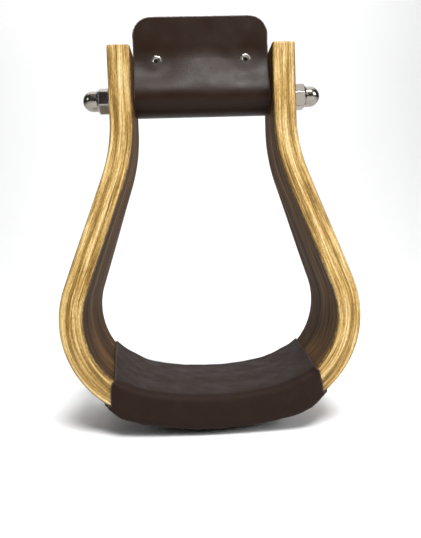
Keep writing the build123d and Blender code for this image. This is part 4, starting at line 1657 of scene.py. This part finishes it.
    def _lace(self) -> bpy.types.Object:
        """Sweep the lace along its path, still flat."""
        points, widths = self._lace_path()
        knots = np.arange(len(points), dtype=float)
        fine = np.linspace(0, len(points) - 1, (len(points) - 1) * 5 + 1)
        line = catmull_rom(points, fine)
        width = np.stack([np.interp(fine, knots, widths[:, axis]) for axis in range(3)], axis=1)
        for _ in range(4):
            width[1:-1] = (width[:-2] + 2 * width[1:-1] + width[2:]) / 4
        tangent = np.gradient(line, axis=0)
        tangent /= np.linalg.norm(tangent, axis=1)[:, None]
        width -= tangent * np.sum(width * tangent, axis=1)[:, None]
        width /= np.linalg.norm(width, axis=1)[:, None]
        normal = np.cross(tangent, width)
        in_hole = np.exp(-((np.abs(line[:, 1]) - self.hole_reach) / 1.5) ** 2)
        turns = np.linspace(0, 2 * math.pi, 20, endpoint=False)
        square = 2.6
        flat_x = np.sign(np.cos(turns)) * np.abs(np.cos(turns)) ** (2 / square)
        flat_y = np.sign(np.sin(turns)) * np.abs(np.sin(turns)) ** (2 / square)
        vertices, faces = [], []
        for i, place in enumerate(line):
            half_width = self.lace_width / 2 * (1 - 0.24 * in_hole[i]) * (1 + 0.05 * math.sin(0.9 * i))
            half_thick = self.lace_thickness / 2 * (1 + 0.10 * in_hole[i])
            for a, b in zip(flat_x, flat_y):
                crown = 0.12 * (1 - a * a) * half_thick
                vertices.append((place + width[i] * a * half_width + normal[i] * (b * half_thick + crown)) * MM)
        count = len(turns)
        for i in range(len(line) - 1):
            for j in range(count):
                k = (j + 1) % count
                faces.append((i * count + j, i * count + k, (i + 1) * count + k, (i + 1) * count + j))
        faces.append(tuple(range(count))[::-1])
        faces.append(tuple(range((len(line) - 1) * count, len(line) * count)))
        return mesh_object("tread_lace_leather", vertices, faces, 60.0)

    def build(self) -> None:
        """Build, fold and dress the cover and its lace."""
        cover = self._cover().build()
        self.hoop.form.bend(cover, TREAD_LEATHER.material(), TREAD_EDGE.material())
        settle(cover, Body.HOOP, Slot.LEATHER, "tread_cover")
        lace = self._lace()
        self.hoop.form.bend(lace, LACE.material())
        settle(lace, Body.HOOP, Slot.LACE, "tread_lace")


def eased(line: np.ndarray, step: float, reach: float) -> np.ndarray:
    """Even out a line and let its bends run into each other, as stiff material does.

    Args:
        line: the line's points, one row each.
        step: spacing of the new points.
        reach: distance over which a bend spreads.

    Returns:
        The new points, with the same ends.
    """
    length = np.concatenate([[0.0], np.cumsum(np.hypot(*np.diff(line, axis=0).T))])
    places = np.linspace(0, length[-1], math.ceil(length[-1] / step) + 1)
    even = np.stack([np.interp(places, length, line[:, axis]) for axis in (0, 1)], axis=1)
    offsets = np.arange(-math.ceil(3 * reach / step), math.ceil(3 * reach / step) + 1)
    weights = np.exp(-0.5 * (offsets * step / reach) ** 2)
    weights /= weights.sum()
    count = len(offsets) // 2
    before = 2 * even[0] - even[count:0:-1]
    after = 2 * even[-1] - even[-2:-count - 2:-1]
    longer = np.concatenate([before, even, after])
    return np.stack([np.convolve(longer[:, axis], weights, mode="valid") for axis in (0, 1)], axis=1)


def catmull_rom(points: np.ndarray, places: np.ndarray) -> np.ndarray:
    """Smooth curve through points.

    Args:
        points: the points, one row each.
        places: where to sample, counted in points.

    Returns:
        The sampled points.
    """
    last = len(points) - 1
    index = np.clip(np.floor(places).astype(int), 0, last - 1)
    t = (places - index)[:, None]
    before, here = points[np.maximum(index - 1, 0)], points[index]
    there, after = points[index + 1], points[np.minimum(index + 2, last)]
    return 0.5 * (2 * here + (there - before) * t + (2 * before - 5 * here + 4 * there - after) * t ** 2
                  + (3 * here - before - 3 * there + after) * t ** 3)


# --------------------------------------------------------------------------------------------------
# The studio
# --------------------------------------------------------------------------------------------------


@dataclass(frozen=True)
class Lamp:
    """One soft round lamp.

    Attributes:
        name: its name.
        place: where it hangs, in metres.
        size: its width across, in metres.
        power: in watts.
        target: the place it faces.
    """

    name: str
    place: Point
    size: float
    power: float
    target: Point = (0.0, 0.0, 0.1)

    def hang(self) -> None:
        """Put the lamp in the scene."""
        data = bpy.data.lights.new(self.name, "AREA")
        data.shape = "DISK"
        data.size = self.size
        data.energy = self.power
        lamp = bpy.data.objects.new(self.name, data)
        lamp.location = self.place
        aim = Vector(self.target) - Vector(self.place)
        lamp.rotation_euler = aim.to_track_quat("-Z", "Y").to_euler()
        bpy.context.scene.collection.objects.link(lamp)


LAMPS = (
    Lamp("key_lamp", (0.15, -0.72, 1.25), 0.55, 23.0),
    Lamp("left_lamp", (-1.0, -0.60, 0.60), 0.4, 1.2),
    Lamp("right_lamp", (0.9, -0.70, 0.60), 0.5, 7.5),
    Lamp("backdrop_lamp", (0.0, 0.8, 1.6), 2.2, 24.0, (0.0, 1.8, 0.2)),
)


@dataclass
class Studio:
    """A pale sweep and soft lamps, with the camera in front of the stirrup.

    Attributes:
        camera: the camera's place, in metres.
        turn: its rotation about X, Y and Z, in degrees.
        lens: its focal length for a 36 mm long side, in millimetres.
        floor: colour of the floor.
        sky: colour of the surroundings.
        sky_strength: their brightness.
    """

    camera: Point = (-0.0092974, -0.2971016, 0.1056119)
    turn: Point = (86.2963, 1.9166, -2.2165)
    lens: float = 34.2248
    floor: str = "eeeeee"
    sky: str = "dfe3e8"
    sky_strength: float = 0.10

    def build(self) -> None:
        """Build the floor, the surroundings, the lamps and the camera."""
        self._floor()
        self._world()
        bpy.context.scene.view_settings.view_transform = "Standard"
        for lamp in LAMPS:
            lamp.hang()
        data = bpy.data.cameras.new("camera")
        data.lens = self.lens
        data.sensor_width = 36.0
        data.clip_start = 0.01
        camera = bpy.data.objects.new("camera", data)
        camera.location = self.camera
        camera.rotation_euler = Euler([math.radians(a) for a in self.turn])
        bpy.context.scene.collection.objects.link(camera)
        bpy.context.scene.camera = camera

    def _floor(self) -> None:
        """Lay a pale floor that sweeps up into a backdrop behind the object."""
        half, front, bend, turn = 4.0, -3.0, 1.0, 0.8
        path = [(front, 0.0), (bend, 0.0)]
        path += [(bend + turn * math.sin(a), turn * (1 - math.cos(a)))
                 for a in np.linspace(0, math.pi / 2, 17)[1:]]
        path.append((bend + turn, 4.0))
        vertices = [(x, y, z) for y, z in path for x in (-half, half)]
        faces = [(2 * i, 2 * i + 1, 2 * i + 3, 2 * i + 2) for i in range(len(path) - 1)]
        floor = mesh_object("floor", vertices, faces)
        material = bpy.data.materials.new("pale_paper")
        material.use_nodes = True
        shader = material.node_tree.nodes["Principled BSDF"]
        shader.inputs["Base Color"].default_value = hex_colour(self.floor)
        shader.inputs["Roughness"].default_value = 0.9
        floor.data.materials.append(material)
        floor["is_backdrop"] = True

    def _world(self) -> None:
        """Light the surroundings evenly."""
        world = bpy.data.worlds.new("studio")
        world.use_nodes = True
        background = world.node_tree.nodes["Background"]
        background.inputs["Color"].default_value = hex_colour(self.sky)
        background.inputs["Strength"].default_value = self.sky_strength
        bpy.context.scene.world = world


# --------------------------------------------------------------------------------------------------
# Assembly
# --------------------------------------------------------------------------------------------------


NUT_TURNS = {Side.LEFT: 33.0, Side.RIGHT: -6.0}  # degrees that each cap nut stopped at when it was tight
FIBRE_RISE = 34.0  # millimetres over the bolt above which the wrap's edges are frayed


def write_size(moment: str, sizes: dict[str, list[list[float]]]) -> None:
    """Note the shown object's box.

    Args:
        moment: when it was measured.
        sizes: the boxes noted so far, which this adds to.
    """
    sizes[moment] = [list(corner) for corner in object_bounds()]


def keep_cad_node(node: bpy.types.Object, finish: Finish) -> None:
    """Show a plain turned CAD piece as it is, with its finish."""
    node.data.materials.clear()
    node.data.materials.append(finish.material())
    log.info("%s: kept, finish %s", node.name, finish.name)


def main() -> None:
    """Build the stirrup from the hoop outwards."""
    logging.basicConfig(level=logging.INFO, format="%(name)s %(message)s")
    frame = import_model()
    sizes: dict[str, list[list[float]]] = {}
    write_size("cad", sizes)
    low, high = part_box("bolt_roller")
    bolt_height = (low.z + high.z) / 2 / MM

    hoop = Hoop(bolt_height)
    hoop.build()
    TreadCover(hoop).build()
    hoop.form.put_away()
    wrap = BoltWrap(bolt_height)
    strap = wrap.build()
    wrap.form.put_away()
    fibres = EdgeFibres("wrap_edge_fibres", above=bolt_height + FIBRE_RISE).build(
        strap, HARNESS_EDGE.material())
    settle(fibres, Body.ROLLER, Slot.LEATHER)
    for side in Side:
        BoltEnd(side, bolt_height, turn=NUT_TURNS[side]).build()
        WrapRivet(side, bolt_height + wrap.rivet_rise).build()
    keep_cad_node(frame["nodes"]["stirrup_bolt"], TURNED_STEEL)
    keep_cad_node(frame["nodes"]["bolt_roller"], TURNED_STEEL)
    Studio().build()
    write_size("visual", sizes)


if __name__ == "__main__":
    main()
